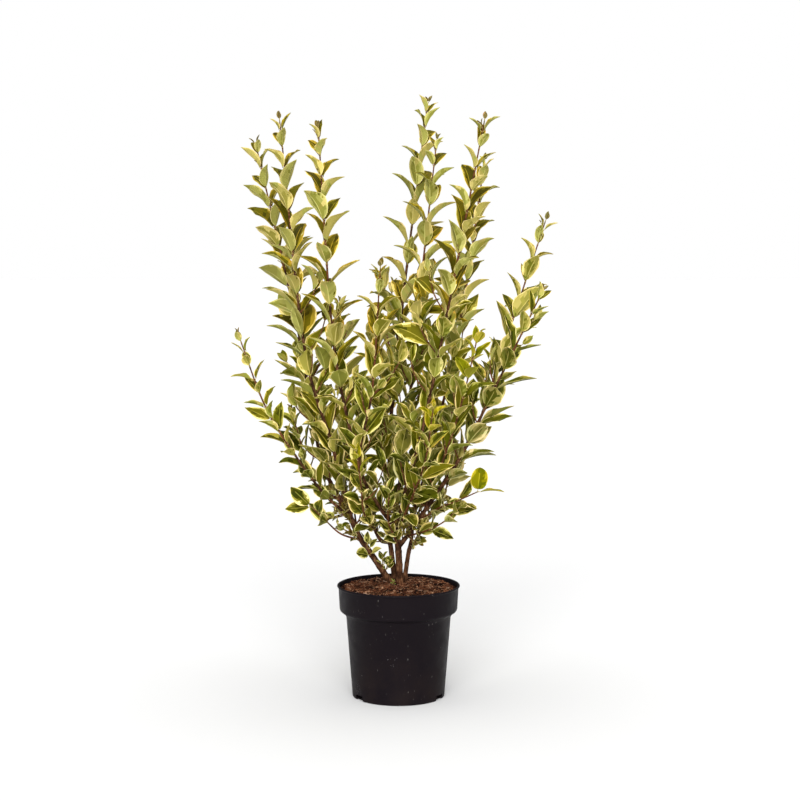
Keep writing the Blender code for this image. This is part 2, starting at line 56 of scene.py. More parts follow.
_, pot_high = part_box("pot")
POT_HEIGHT = pot_high.z
RIM_RADIUS = pot_high.x
FOOT_RADIUS = 0.0717
SHOULDER_RADIUS = 0.0810
COLLAR_FOOT_RADIUS = 0.0912
COLLAR_TOP_RADIUS = 0.0930
COLLAR_DEPTH = 0.042
SHOULDER_DROP = 0.006
COLLAR_CORNER = 0.0060
POT_WALL = 0.0016
POT_FLOOR = 0.0025
LIP_ROLL = 0.0016
LIP_DEPTH = 2.2 * LIP_ROLL
LEDGE_STEP = 0.0012
POT_STEPS = 144
POT_CREASE = math.radians(38)
NOTCH_ANGLES = (-58, 62, 180)
NOTCH_WIDTH = 0.020
NOTCH_HEIGHT = 0.0082
NOTCH_REACH = 0.012

# The rounded foot: steps out from the foot's radius, each at its height
FOOT_CORNER = ((0.0006, 0.012), (0.0, 0.003), (-0.0004, 0.0010), (-0.0014, 0.0), (-0.006, 0.0))

POT_BLACK = (0.0060, 0.0040, 0.0056)
POT_DUST = (0.015, 0.0095, 0.0085)
POT_SCUFF = (0.16, 0.15, 0.14)
POT_CHIP = (0.34, 0.33, 0.33)


class Finish:
    """A node material under construction, with its shader and short ways to add nodes."""

    def __init__(self, name, roughness, specular=0.5):
        self.material = bpy.data.materials.new(name)
        self.material.use_nodes = True
        self.nodes = self.material.node_tree.nodes
        self.shader = self.nodes["Principled BSDF"]
        self.shader.inputs["Roughness"].default_value = roughness
        self.shader.inputs["Specular IOR Level"].default_value = specular
        self.place = self.nodes.new("ShaderNodeTexCoord").outputs["Object"]

    def link(self, start, end):
        self.material.node_tree.links.new(start, end)

    def stretched(self, scale):
        """The place on the object, with its three axes scaled apart."""
        mapping = self.nodes.new("ShaderNodeMapping")
        mapping.inputs["Scale"].default_value = scale
        self.link(self.place, mapping.inputs["Vector"])
        return mapping.outputs["Vector"]

    def noise(self, scale, detail=3.0, roughness=0.55, place=None):
        texture = self.nodes.new("ShaderNodeTexNoise")
        texture.inputs["Scale"].default_value = scale
        texture.inputs["Detail"].default_value = detail
        texture.inputs["Roughness"].default_value = roughness
        self.link(place or self.place, texture.inputs["Vector"])
        return texture.outputs["Fac"]

    def cells(self, scale, place=None):
        texture = self.nodes.new("ShaderNodeTexVoronoi")
        texture.inputs["Scale"].default_value = scale
        self.link(place or self.place, texture.inputs["Vector"])
        return texture.outputs["Distance"]

    def ramp(self, value, *stops):
        """A value turned into a colour, or a grey, by stops of (position, colour)."""
        ramp = self.nodes.new("ShaderNodeValToRGB")
        elements = ramp.color_ramp.elements
        while len(elements) < len(stops):
            elements.new(0.5)
        for element, (position, colour) in zip(elements, stops):
            if isinstance(colour, float):
                colour = (colour, colour, colour)
            element.position = position
            element.color = (*colour, 1.0)
        self.link(value, ramp.inputs["Fac"])
        return ramp.outputs["Color"]

    def mixed(self, share, first, second):
        """Two colours mixed by a share: each is a fixed colour or another node's output."""
        mix = self.nodes.new("ShaderNodeMix")
        mix.data_type = "RGBA"
        self.link(share, mix.inputs[0])
        for socket, colour in ((mix.inputs[6], first), (mix.inputs[7], second)):
            if isinstance(colour, tuple):
                socket.default_value = (*colour, 1.0)
            else:
                self.link(colour, socket)
        return mix.outputs[2]

    def between(self, value, low, high, out_low=0.0, out_high=1.0):
        """The value's range from low to high, carried over to another range and held there."""
        span = self.nodes.new("ShaderNodeMapRange")
        names = ("From Min", "From Max", "To Min", "To Max")
        for name, number in zip(names, (low, high, out_low, out_high)):
            span.inputs[name].default_value = number
        self.link(value, span.inputs["Value"])
        return span.outputs["Result"]

    def times(self, first, second):
        product = self.nodes.new("ShaderNodeMath")
        product.operation = "MULTIPLY"
        self.link(first, product.inputs[0])
        self.link(second, product.inputs[1])
        return product.outputs["Value"]

    def height(self):
        """How high the place lies on the object."""
        parts = self.nodes.new("ShaderNodeSeparateXYZ")
        self.link(self.place, parts.inputs["Vector"])
        return parts.outputs["Z"]

    def colour(self, value):
        self.link(value, self.shader.inputs["Base Color"])

    def bump(self, value, distance, strength=1.0):
        """Fine relief. A second call lays its relief over the first one's."""
        relief = self.nodes.new("ShaderNodeBump")
        relief.inputs["Distance"].default_value = distance
        relief.inputs["Strength"].default_value = strength
        self.link(value, relief.inputs["Height"])
        under = self.shader.inputs["Normal"]
        if under.links:
            self.link(under.links[0].from_socket, relief.inputs["Normal"])
        self.link(relief.outputs["Normal"], under)


def pot_plastic():
    """Near-black plastic: brown dust towards the foot, pale scuffs, and a faint orange peel."""
    finish = Finish("pot_black_plastic", 0.46, 0.06)
    low_down = finish.between(finish.height(), 0.10, 0.0, 0.10, 0.75)
    dust = finish.times(low_down, finish.between(finish.noise(26, 4, 0.62), 0.35, 0.75))
    colour = finish.mixed(dust, POT_BLACK, POT_DUST)
    scratch_place = finish.stretched((1.0, 1.0, 0.30))
    scratches = finish.noise(520, 1.0, 0.4, scratch_place)
    patches = finish.between(finish.noise(38, 2, 0.5), 0.53, 0.66)
    scuffs = finish.times(finish.between(scratches, 0.70, 0.78), patches)
    colour = finish.mixed(scuffs, colour, POT_SCUFF)
    chip_place = finish.stretched((-1.0, 1.0, 1.0))
    chipped = finish.between(finish.noise(21, 2, place=chip_place), 0.62, 0.70)
    chips = finish.times(finish.between(finish.cells(330, chip_place), 0.15, 0.08), chipped)
    finish.colour(finish.mixed(chips, colour, POT_CHIP))
    gloss = finish.between(finish.noise(60, 3), 0.3, 0.7, 0.42, 0.56)
    finish.link(gloss, finish.shader.inputs["Roughness"])
    finish.bump(finish.noise(900, 2), 0.00006, 0.5)
    finish.bump(finish.noise(45, 2), 0.0006, 0.25)
    return finish.material


def arc(centre, radius, start, end, count):
    """Points along an arc in the plane of a turned profile, between two angles in degrees."""
    angles = np.radians(np.linspace(start, end, count))
    return [(centre[0] + radius * math.cos(a), centre[1] + radius * math.sin(a)) for a in angles]


def shown(name, mesh):
    piece = bpy.data.objects.new(name, mesh)
    bpy.context.scene.collection.objects.link(piece)
    return piece


def settled(piece):
    """The piece with its modifiers worked into its mesh."""
    graph = bpy.context.evaluated_depsgraph_get()
    mesh = bpy.data.meshes.new_from_object(piece.evaluated_get(graph))
    piece.modifiers.clear()
    piece.data = mesh
    return piece


def pot_profile():
    """The pot's section, from the middle of its floor up the inside, over the lip and down."""
    collar_foot = POT_HEIGHT - COLLAR_DEPTH
    under_lip = POT_HEIGHT - LIP_DEPTH
    corner_centre = (COLLAR_FOOT_RADIUS - COLLAR_CORNER, collar_foot + COLLAR_CORNER)
    corner = arc(corner_centre, COLLAR_CORNER, -8, -80, 6)
    inner_corner = [(r - POT_WALL, z + 0.4 * POT_WALL) for r, z in reversed(corner)]
    lip = arc((RIM_RADIUS - LIP_ROLL, POT_HEIGHT - LIP_ROLL), LIP_ROLL, 160, -75, 14)
    ledge = SHOULDER_RADIUS + LEDGE_STEP
    return [
        (0.0, POT_FLOOR),
        (FOOT_RADIUS - POT_WALL - 0.002, POT_FLOOR),
        (FOOT_RADIUS - POT_WALL, POT_FLOOR + 0.002),
        (SHOULDER_RADIUS - POT_WALL, collar_foot - SHOULDER_DROP),
        *inner_corner,
        (COLLAR_TOP_RADIUS - POT_WALL, under_lip),
        *lip,
        (COLLAR_TOP_RADIUS + 0.0002, under_lip - 0.0006),
        (COLLAR_TOP_RADIUS - 0.0002, under_lip - 0.0016),
        *corner,
        (ledge + 0.0006, collar_foot - 0.6 * SHOULDER_DROP),
        (ledge, collar_foot - 0.85 * SHOULDER_DROP),
        (SHOULDER_RADIUS, collar_foot - 1.1 * SHOULDER_DROP),
        *((FOOT_RADIUS + step, height) for step, height in FOOT_CORNER),
        (0.0, 0.0),
    ]


def turned(name, profile, steps):
    """A profile of (radius, height) points turned round the upright axis."""
    mesh = bpy.data.meshes.new(name)
    edges = [(number, number + 1) for number in range(len(profile) - 1)]
    mesh.from_pydata([(radius, 0.0, height) for radius, height in profile], edges, [])
    piece = shown(name, mesh)
    screw = piece.modifiers.new("Turn", "SCREW")
    screw.steps = steps
    screw.render_steps = steps
    screw.use_merge_vertices = True
    screw.merge_threshold = 0.00001
    return piece


pot = turned("nursery_pot", pot_profile(), POT_STEPS)
notch_cutters = []
for notch_angle in NOTCH_ANGLES:
    turn = math.radians(notch_angle - 90)
    bpy.ops.mesh.primitive_cube_add(size=1.0)
    cutter = bpy.context.object
    cutter.scale = (NOTCH_REACH, NOTCH_WIDTH, 2 * NOTCH_HEIGHT)
    cutter.location = (FOOT_RADIUS * math.cos(turn), FOOT_RADIUS * math.sin(turn), 0.0)
    cutter.rotation_euler = (0.0, 0.0, turn)
    notch = pot.modifiers.new("Notch", "BOOLEAN")
    notch.object = cutter
    notch_cutters.append(cutter)
settled(pot)
for cutter in notch_cutters:
    bpy.data.objects.remove(cutter, do_unlink=True)
pot.data.shade_smooth()
pot.data.set_sharp_from_angle(angle=POT_CREASE)
pot.data.materials.clear()
pot.data.materials.append(pot_plastic())
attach(pot, "root")
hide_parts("pot")


# The compost
# Moist red-brown compost of bark and coir, filled in by hand to just under the rim and heaped a
# little round the stems. Its crumbs and pale fibres lie loose on the top.

COMPOST_FOOT = 0.012
COMPOST_EDGE_HEIGHT = 0.167
COMPOST_MIDDLE_HEIGHT = 0.175
COMPOST_FLAT_RADIUS = 0.032
COMPOST_RINGS = 74
COMPOST_SPOKES = 260
WALL_GAP = 0.0003
CRUMB_SEED = 31
CRUMBS = 7200
CRUMB_SIZES = (0.0005, 0.0019)
CRUMB_STRETCH = (0.55, 1.5)
CRUMB_ROUGHNESS = (0.72, 1.25)
CRUMB_INSET = 0.003
CRUMB_LIFT = 0.0003
PATCH_SIZE = 0.014
FIBRES = 1300
FIBRE_LENGTHS = (0.004, 0.015)
FIBRE_THICKNESS = 0.00022
FIBRE_BEND = 1.3
FIBRE_INSET = 0.011
FIBRE_LIFT = 0.0006
FIBRE_STRAY_LIFT = 0.0010
CURLS = 90
CURL_LENGTHS = (0.008, 0.020)
CURL_THICKNESS = 0.00034
CURL_BEND = 3.4
FIBRE_SIDES = 3
FIBRE_RINGS = 9

# The lumps and hollows of the compost's surface: how wide they are, and how deep
COMPOST_LUMPS = ((0.024, 0.0026), (0.008, 0.0013), (0.003, 0.0009), (0.0013, 0.0004))

COMPOST_DARK = (0.008, 0.0032, 0.0020)
COMPOST_RED = (0.064, 0.021, 0.010)
COMPOST_TAN = (0.19, 0.085, 0.042)
CRUMB_COLOURS = (
    (0.007, 0.0028, 0.0018),
    (0.040, 0.0125, 0.0062),
    (0.102, 0.035, 0.016),
    (0.172, 0.070, 0.034),
    (0.350, 0.185, 0.105),
)
CRUMB_SHARES = (0.29, 0.28, 0.25, 0.14, 0.04)
FIBRE_COLOURS = ((0.070, 0.024, 0.011), (0.16, 0.066, 0.031), (0.34, 0.19, 0.11), (0.46, 0.29, 0.20))
FIBRE_SHARES = (0.40, 0.40, 0.18, 0.02)
CURL_SHARES = (0.0, 0.20, 0.40, 0.40)


def wall_inside(height):
    """The radius of the pot's inner wall at a height in its collar."""
    share = (height - POT_HEIGHT + COLLAR_DEPTH) / COLLAR_DEPTH
    return COLLAR_FOOT_RADIUS + share * (COLLAR_TOP_RADIUS - COLLAR_FOOT_RADIUS) - POT_WALL


compost_radius = wall_inside(COMPOST_EDGE_HEIGHT) - WALL_GAP


def compost_height(x, y):
    """The heap's height, with the lumps and hollows of a surface pressed down by hand."""
    share = max(0.0, math.hypot(x, y) - COMPOST_FLAT_RADIUS) / (compost_radius - COMPOST_FLAT_RADIUS)
    heap = COMPOST_MIDDLE_HEIGHT - COMPOST_EDGE_HEIGHT
    height = COMPOST_MIDDLE_HEIGHT - heap * min(1.0, share) ** 1.5
    for size, depth in COMPOST_LUMPS:
        height += depth * noise.noise((x / size, y / size, 7.3))
    return height


def compost_body():
    """A closed body: the rough top, and sides that follow the pot down to its floor."""
    corners = [(0.0, 0.0, compost_height(0.0, 0.0))]
    turns = np.arange(COMPOST_SPOKES) * 2 * math.pi / COMPOST_SPOKES
    for radius in compost_radius * np.linspace(0, 1, COMPOST_RINGS + 1)[1:]:
        for a in turns:
            x, y = radius * math.cos(a), radius * math.sin(a)
            corners.append((x, y, compost_height(x, y)))
    inside = POT_WALL + WALL_GAP
    collar_foot = POT_HEIGHT - COLLAR_DEPTH
    for radius, height in (
        (COLLAR_FOOT_RADIUS - inside - 0.001, collar_foot + 0.004),
        (SHOULDER_RADIUS - inside, collar_foot - SHOULDER_DROP),
        (FOOT_RADIUS - inside - 0.001, COMPOST_FOOT),
    ):
        corners += [(radius * math.cos(a), radius * math.sin(a), height) for a in turns]
    corners.append((0.0, 0.0, COMPOST_FOOT))
    rings = COMPOST_RINGS + 3
    faces = [(0, 1 + s, 1 + (s + 1) % COMPOST_SPOKES) for s in range(COMPOST_SPOKES)]
    for ring in range(rings - 1):
        start = 1 + ring * COMPOST_SPOKES
        for s in range(COMPOST_SPOKES):
            here, following = start + s, start + (s + 1) % COMPOST_SPOKES
            faces.append((here, here + COMPOST_SPOKES, following + COMPOST_SPOKES, following))
    last, middle = 1 + (rings - 1) * COMPOST_SPOKES, len(corners) - 1
    faces += [(last + s, middle, last + (s + 1) % COMPOST_SPOKES) for s in range(COMPOST_SPOKES)]
    mesh = bpy.data.meshes.new("compost_body")
    mesh.from_pydata(corners, [], faces)
    mesh.shade_smooth()
    return mesh


def compost_finish():
    """Red-brown and tan grain, darker where the compost is damp."""
    finish = Finish("moist_compost", 0.92, 0.06)
    grain = finish.noise(420, 5, 0.7)
    colour = finish.ramp(grain, (0.34, COMPOST_DARK), (0.55, COMPOST_RED), (0.78, COMPOST_TAN))
    damp = finish.between(finish.noise(40, 3), 0.40, 0.66)
    finish.colour(finish.mixed(finish.between(damp, 0.0, 1.0, 0.0, 0.6), colour, COMPOST_DARK))
    finish.bump(finish.noise(600, 4, 0.7), 0.0010, 0.9)
    return finish.material


def plain_finish(name, colour, roughness, specular=0.5):
    """A material that is one colour all over: the leaves and twigs deal these out by face."""
    made = bpy.data.materials.new(name)
    made.use_nodes = True
    shader = made.node_tree.nodes["Principled BSDF"]
    shader.inputs["Base Color"].default_value = (*colour, 1.0)
    shader.inputs["Roughness"].default_value = roughness
    shader.inputs["Specular IOR Level"].default_value = specular
    return made


def joined(name, corners, faces, dealt, finishes):
    """One mesh of many copies of a small shape. corners is an array of copies, corners and
    axes, faces belong to one copy, and dealt is the number of each face's finish."""
    copies, per_copy = corners.shape[:2]
    sizes = np.tile([len(face) for face in faces], copies)
    one = np.concatenate([np.array(face) for face in faces])
    loops = (one[None, :] + per_copy * np.arange(copies)[:, None]).ravel()
    mesh = bpy.data.meshes.new(name)
    mesh.vertices.add(copies * per_copy)
    mesh.vertices.foreach_set("co", corners.astype(np.float32).ravel())
    mesh.loops.add(len(loops))
    mesh.loops.foreach_set("vertex_index", loops.astype(np.int32))
    mesh.polygons.add(len(sizes))
    starts = np.concatenate([[0], np.cumsum(sizes)[:-1]])
    mesh.polygons.foreach_set("loop_start", starts.astype(np.int32))
    for finish in finishes:
        mesh.materials.append(finish)
    mesh.polygons.foreach_set("material_index", np.asarray(dealt, np.int32).ravel())
    mesh.update(calc_edges=True)
    mesh.shade_smooth()
    return mesh


def ball_faces():
    """A small lump: the twelve corners and twenty faces of an icosahedron."""
    golden = (1 + math.sqrt(5)) / 2
    corners = [(a, b * golden, 0) for a in (-1, 1) for b in (-1, 1)]
    corners = [(c[(2 - k) % 3], c[(3 - k) % 3], c[(4 - k) % 3]) for k in range(3) for c in corners]
    corners = np.array(corners) / math.hypot(1, golden)
    edge = 2 / math.hypot(1, golden)
    faces = []
    for a in range(12):
        for b in range(a + 1, 12):
            for c in range(b + 1, 12):
                sides = [np.linalg.norm(corners[p] - corners[q]) for p, q in ((a, b), (b, c), (a, c))]
                if max(sides) < 1.05 * edge:
                    out = np.dot(np.cross(corners[b] - corners[a], corners[c] - corners[a]), corners[a])
                    faces.append((a, b, c) if out > 0 else (a, c, b))
    return corners, faces


def turned_ways(draws, count):
    """Random turns, as a stack of three-by-three matrices."""
    quarters, _ = np.linalg.qr(draws.normal(size=(count, 3, 3)))
    return quarters * np.sign(np.linalg.det(quarters))[:, None, None]


def scattered(draws, count, inset):
    """Places spread evenly over the compost, on its surface."""
    radius = (compost_radius - inset) * np.sqrt(draws.uniform(0, 1, count))
    angle = draws.uniform(0, 2 * math.pi, count)
    x, y = radius * np.cos(angle), radius * np.sin(angle)
    return np.stack([x, y, [compost_height(a, b) for a, b in zip(x, y)]], axis=1)


def patchy(draws, places, shares):
    """A colour's number for each place, dark ones lying together in patches and pale ones in others."""
    value = [noise.noise((x / PATCH_SIZE, y / PATCH_SIZE, 2.9)) for x, y, _ in places]
    value = np.array(value) + draws.normal(0, 0.22, len(places))
    rank = np.argsort(np.argsort(value)) / len(places)
    return np.searchsorted(np.cumsum(shares)[:-1], rank)


def numbered_finishes(name, colours, roughness, specular):
    """A plain finish for each of the colours, named by its number."""
    return [
        plain_finish(f"{name}_{number}", colour, roughness, specular)
        for number, colour in enumerate(colours)
    ]


def crumbs():
    """Rough little lumps, most of them tiny, lying loose all over the compost."""
    draws = np.random.default_rng(CRUMB_SEED)
    corners, faces = ball_faces()
    sizes = CRUMB_SIZES[0] + (CRUMB_SIZES[1] - CRUMB_SIZES[0]) * draws.uniform(0, 1, CRUMBS) ** 3
    stretch = draws.uniform(*CRUMB_STRETCH, (CRUMBS, 1, 3))
    rough = draws.uniform(*CRUMB_ROUGHNESS, (CRUMBS, len(corners), 1))
    lumps = corners[None] * rough * stretch * sizes[:, None, None]
    lumps = np.einsum("nij,nkj->nki", turned_ways(draws, CRUMBS), lumps)
    places = scattered(draws, CRUMBS, CRUMB_INSET)
    lumps += places[:, None, :] + [0, 0, CRUMB_LIFT]
    dealt = np.repeat(patchy(draws, places, CRUMB_SHARES), len(faces))
    finishes = numbered_finishes("crumb", CRUMB_COLOURS, 0.95, 0.05)
    return joined("compost_crumbs", lumps, faces, dealt, finishes)


def strand_faces(rings, sides):
    """The faces of a closed thin tube with this many rings and sides."""
    faces = [tuple(reversed(range(sides)))]
    for ring in range(rings - 1):
        for side in range(sides):
            here, following = ring * sides + side, ring * sides + (side + 1) % sides
            faces.append((here, following, following + sides, here + sides))
    faces.append(tuple(range((rings - 1) * sides, rings * sides)))
    return faces


def fibres(name, count, lengths, thickness, bend, shares):
    """Thin bent fibres that lie on the compost, with their ends turned up a little."""
    draws = np.random.default_rng(count)
    low, high = lengths
    length = low + (high - low) * draws.uniform(0, 1, count) ** 2
    along = np.linspace(-0.5, 0.5, FIBRE_RINGS)
    heading = draws.uniform(0, 2 * math.pi, count)
    curl = draws.normal(0, bend, count)
    turn = heading[:, None] + curl[:, None] * along
    step = np.stack([np.cos(turn), np.sin(turn), draws.normal(0, 0.10, (count, 1)) + 0 * turn], axis=-1)
    path = np.cumsum(step, axis=1) * (length / FIBRE_RINGS)[:, None, None]
    path -= path.mean(axis=1, keepdims=True)
    path += scattered(draws, count, FIBRE_INSET)[:, None, :]
    rise = FIBRE_LIFT + FIBRE_STRAY_LIFT * draws.uniform(0, 1, (count, 1))
    path[..., 2] += rise + draws.normal(0, 0.0002, (count, FIBRE_RINGS))
    side = np.stack([-np.sin(turn), np.cos(turn), 0 * turn], axis=-1)
    thick = thickness * draws.uniform(0.7, 1.7, (count, 1, 1))
    rings = []
    for corner in np.arange(FIBRE_SIDES) * 2 * math.pi / FIBRE_SIDES:
        rings.append(path + thick * (math.cos(corner) * side + math.sin(corner) * np.array([0, 0, 1])))
    corners = np.stack(rings, axis=2).reshape(count, FIBRE_RINGS * FIBRE_SIDES, 3)
    faces = strand_faces(FIBRE_RINGS, FIBRE_SIDES)
    dealt = np.repeat(draws.choice(len(FIBRE_COLOURS), count, p=shares), len(faces))
    return shown(name, joined(name, corners, faces, dealt, fibre_finishes))


compost = shown("compost_surface", compost_body())
compost.data.materials.append(compost_finish())
fibre_finishes = numbered_finishes("fibre", FIBRE_COLOURS, 0.9, 0.08)
fine_fibres = fibres(
    "compost_fibres", FIBRES, FIBRE_LENGTHS, FIBRE_THICKNESS, FIBRE_BEND, FIBRE_SHARES
)
curled_fibres = fibres(
    "curled_fibres", CURLS, CURL_LENGTHS, CURL_THICKNESS, CURL_BEND, CURL_SHARES
)
for piece in (compost, shown("compost_crumbs", crumbs()), fine_fibres, curled_fibres):
    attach(piece, "root")
    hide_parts("compost")


# The stems and main boughs
# Four woody stems from the crown of the root, each of them forking low down into boughs. The
# bark is thin and brown, with raised pores, shallow cracks and rings where old leaves stood.

MM = 0.001
CURVE_SPACING = 0.002
CURVE_STEPS = 30
FLARE = 0.22
FLARE_HEIGHT = 0.007
TWIG_TIP_RADIUS = 0.0009
SUNK_FOOT = 0.005
SKIN_SIDES = 14
SKIN_GRAIN = 0.0006
SKIN_SMOOTHING = 4
BARK_SEED = 5
LEAFY_OVERLAP = 0.002
LEAFY_SPACING = 0.003
SCAR_START = 0.012
SCAR_SPACING = 0.021
SCAR_STRAY = 0.004
SCAR_SWELLING = (0.05, 0.13)
SCAR_HALF_LENGTH = 0.0022
LUMP_HEIGHT = 0.00020
CRACK_DEPTH = 0.00020
PORE_HEIGHT = 0.00032
PORE_RARITY = 0.42

BARK_DARK = (0.020, 0.008, 0.004)
BARK_BROWN = (0.102, 0.041, 0.018)
BARK_TAN = (0.232, 0.118, 0.058)
BARK_PORE = (0.32, 0.20, 0.11)

# Each stem: points from its foot to its fork in mm, then its radius at foot and fork
STEMS = {
    "stem_left": [(-13, 10, 175.3), (-41, 9, 218), (-62, 6, 250), (-79, 2, 290), 5.1, 4.2],
    "stem_middle_left": [(-6, 22, 175.3), (-10, 21, 212), (-13, 20, 236), 4.3, 3.8],
    "stem_middle": [(2, 9, 175.3), (0, 9, 222), (-4, 9, 266), 5.6, 4.7],
    "stem_right": [(9, 22, 175.3), (15, 22, 216), (20, 23, 238), 3.8, 3.3],
}

# Each shoot: the limb that carries it and how far along that limb, the points that it passes
# through up to its tip in mm, its radius at the foot in mm, and the bare length in mm. The
# bare length is its bough, and the rest bears leaves.
SHOOTS = {
    "left_outer": ("stem_left", 0.97, [(-121, 45, 366), (-158, 75, 564), (-223, 90, 853)], 3.4, 30),
    "left_tall": ("stem_left", 0.82, [(-100, -30, 391), (-142, -50, 548), (-176, -60, 880)], 3.2, 30),
    "left_inner": (
        "stem_middle_left", 0.97,
        [(-36, 10, 258), (-73, -55, 420), (-98, -90, 572), (-116, -129, 864)], 3.2, 45,
    ),
    "left_low": (
        "stem_left", 0.90,
        [(-110, -20, 314), (-150, -30, 368), (-200, -45, 452), (-239, -58, 561)], 2.4, 30,
    ),
    "left_side": (
        "bough_left_outer", 0.25, [(-130, 42, 334), (-152, 60, 372), (-168, 72, 436)], 1.7, 16,
    ),
    "middle_front": (
        "stem_middle", 0.93,
        [(-30, -25, 300), (-58, -84, 375), (-38, -132, 490), (-26, -164, 664)], 3.0, 30,
    ),
    "front_young": (
        "bough_left_inner", 0.60, [(-52, -40, 290), (-56, -86, 340), (-62, -112, 394)], 1.7, 16,
    ),
    "crown_top": ("stem_middle", 0.98, [(-14, 42, 385), (7, 90, 611), (46, 129, 919)], 3.8, 30),
    "crown_second": (
        "stem_middle_left", 0.86,
        [(-8, 30, 275), (10, 38, 385), (32, 55, 612), (59, 60, 857)], 2.9, 42,
    ),
    "right_front": (
        "stem_middle", 0.78,
        [(8, -28, 315), (32, -70, 406), (64, -110, 559), (123, -153, 874)], 3.2, 40,
    ),
    "right_back": (
        "stem_right", 0.97,
        [(26, 40, 285), (50, 76, 368), (97, 130, 562), (138, 159, 831)], 3.0, 34,
    ),
    "right_outer": (
        "stem_middle", 0.60,
        [(22, -3, 262), (41, -18, 293), (91, -32, 371), (160, -50, 513), (214, -69, 628)], 3.9, 110,
    ),
    "right_upper": (
        "bough_right_outer", 0.82,
        [(104, -4, 388), (126, 20, 428), (181, 80, 584), (232, 109, 734)], 2.6, 25,
    ),
    "right_young": (
        "bough_right_outer", 0.66, [(76, -62, 400), (97, -85, 475), (117, -110, 566)], 1.8, 18,
    ),
    "low_right": (
        "bough_right_outer", 0.52, [(62, -46, 300), (88, -70, 314), (118, -92, 331)], 1.6, 12,
    ),
    "low_right_front": (
        "bough_right_outer", 0.22, [(44, -36, 264), (70, -60, 282), (90, -80, 305)], 1.6, 14,
    ),
    "front_right": (
        "bough_right_front", 0.40, [(24, -78, 330), (40, -128, 384), (50, -168, 462)], 1.8, 16,
    ),
    "back_left": (
        "bough_left_outer", 0.30, [(-84, 60, 352), (-86, 122, 440), (-96, 205, 600)], 2.2, 30,
    ),
    "back_middle": (
        "bough_crown_top", 0.30, [(-20, 70, 336), (-24, 135, 440), (-10, 215, 630)], 2.2, 30,
    ),
    "back_right": ("bough_right_back", 0.50, [(52, 92, 330), (86, 160, 420), (110, 222, 590)], 2.1, 30),
    "low_left": ("stem_left", 0.60, [(-88, -10, 254), (-110, -20, 275), (-134, -28, 300)], 1.7, 0),
    "low_front": ("stem_middle", 0.62, [(-8, -20, 256), (-16, -46, 282), (-14, -76, 326)], 1.6, 0),
    "low_back_right": ("stem_right", 0.70, [(40, 46, 260), (66, 80, 294), (92, 108, 345)], 1.7, 0),
    "low_back_left": ("stem_left", 0.70, [(-72, 46, 292), (-90, 82, 330), (-112, 112, 385)], 1.7, 0),
    "stem_sprig": ("stem_left", 0.38, [(-42, -6, 218), (-48, -18, 238)], 1.1, 0),
}


def lengths_along(path):
    """How far along the path each of its points lies."""
    steps = np.linalg.norm(np.diff(path, axis=0), axis=1)
    return np.concatenate([[0.0], np.cumsum(steps)])


def at_lengths(path, lengths):
    """The points that lie at these lengths along the path."""
    along = lengths_along(path)
    return np.stack([np.interp(lengths, along, path[:, axis]) for axis in range(3)], axis=-1)


def even_path(path, spacing):
    """The path again, with its points about one spacing apart."""
    whole = lengths_along(path)[-1]
    return at_lengths(path, np.linspace(0, whole, max(2, round(whole / spacing) + 1)))


def smooth_path(points):
    """A Catmull-Rom curve through a few points, as points spaced evenly along it."""
    points = np.asarray(points, float)
    ends = [2 * points[0] - points[1], *points, 2 * points[-1] - points[-2]]
    curve = []
    for before, start, end, after in zip(ends, ends[1:], ends[2:], ends[3:]):
        for t in np.linspace(0, 1, CURVE_STEPS, endpoint=False):
            bend = 2 * before - 5 * start + 4 * end - after
            sway = 3 * start - before - 3 * end + after
            curve.append(0.5 * (2 * start + (end - before) * t + bend * t**2 + sway * t**3))
    curve.append(points[-1])
    return even_path(np.array(curve), CURVE_SPACING)


def unit(vector):
    return vector / np.linalg.norm(vector)


def round_rings(path, radii, sides):
    """Rings of corners round a path, each ring turned as little as it can be from the last."""
    slopes = np.gradient(path, axis=0)
    slopes /= np.linalg.norm(slopes, axis=1)[:, None]
    side = unit(np.cross(slopes[0], (0.31, 0.95, 0.05)))
    turns = np.arange(sides) * 2 * math.pi / sides
    rings = []
    for point, direction, radius in zip(path, slopes, radii):
        side = unit(side - direction * np.dot(side, direction))
        across = np.cross(direction, side)
        rings.append(point + radius * (np.outer(np.cos(turns), side) + np.outer(np.sin(turns), across)))
    return np.concatenate(rings)


class Limb:
    """A tapering limb: its path, and its radius at each point of that path."""

    def __init__(self, path, foot_radius, end_radius, flare=0.0):
        along = lengths_along(path)
        self.path = path
        self.radii = np.interp(along / along[-1], (0, 1), (foot_radius, end_radius))
        self.radii = self.radii * (1 + flare * np.exp(-along / FLARE_HEIGHT))

    def at(self, share):
        return at_lengths(self.path, share * lengths_along(self.path)[-1])


limbs = {}
leafy_paths = {}
for name, (*points, foot_radius, fork_radius) in STEMS.items():
    limbs[name] = Limb(smooth_path(np.array(points) * MM), foot_radius * MM, fork_radius * MM, FLARE)
for name, (parent, share, points, radius, bare) in SHOOTS.items():
    whole = smooth_path(np.vstack([limbs[parent].at(share), np.array(points) * MM]))
    length = lengths_along(whole)[-1]
    end_radius = np.interp(bare * MM / length, (0, 1), (radius * MM, TWIG_TIP_RADIUS))
    if bare:
        bough_path = at_lengths(whole, np.linspace(0, bare * MM, max(3, round(bare / 2))))
        limbs[f"bough_{name}"] = Limb(bough_path, radius * MM, end_radius)
    leafy_start = max(0.0, bare * MM - LEAFY_OVERLAP)
    stations = np.linspace(leafy_start, length, max(4, round(length / LEAFY_SPACING)))
    leafy_paths[name] = (at_lengths(whole, stations), end_radius)


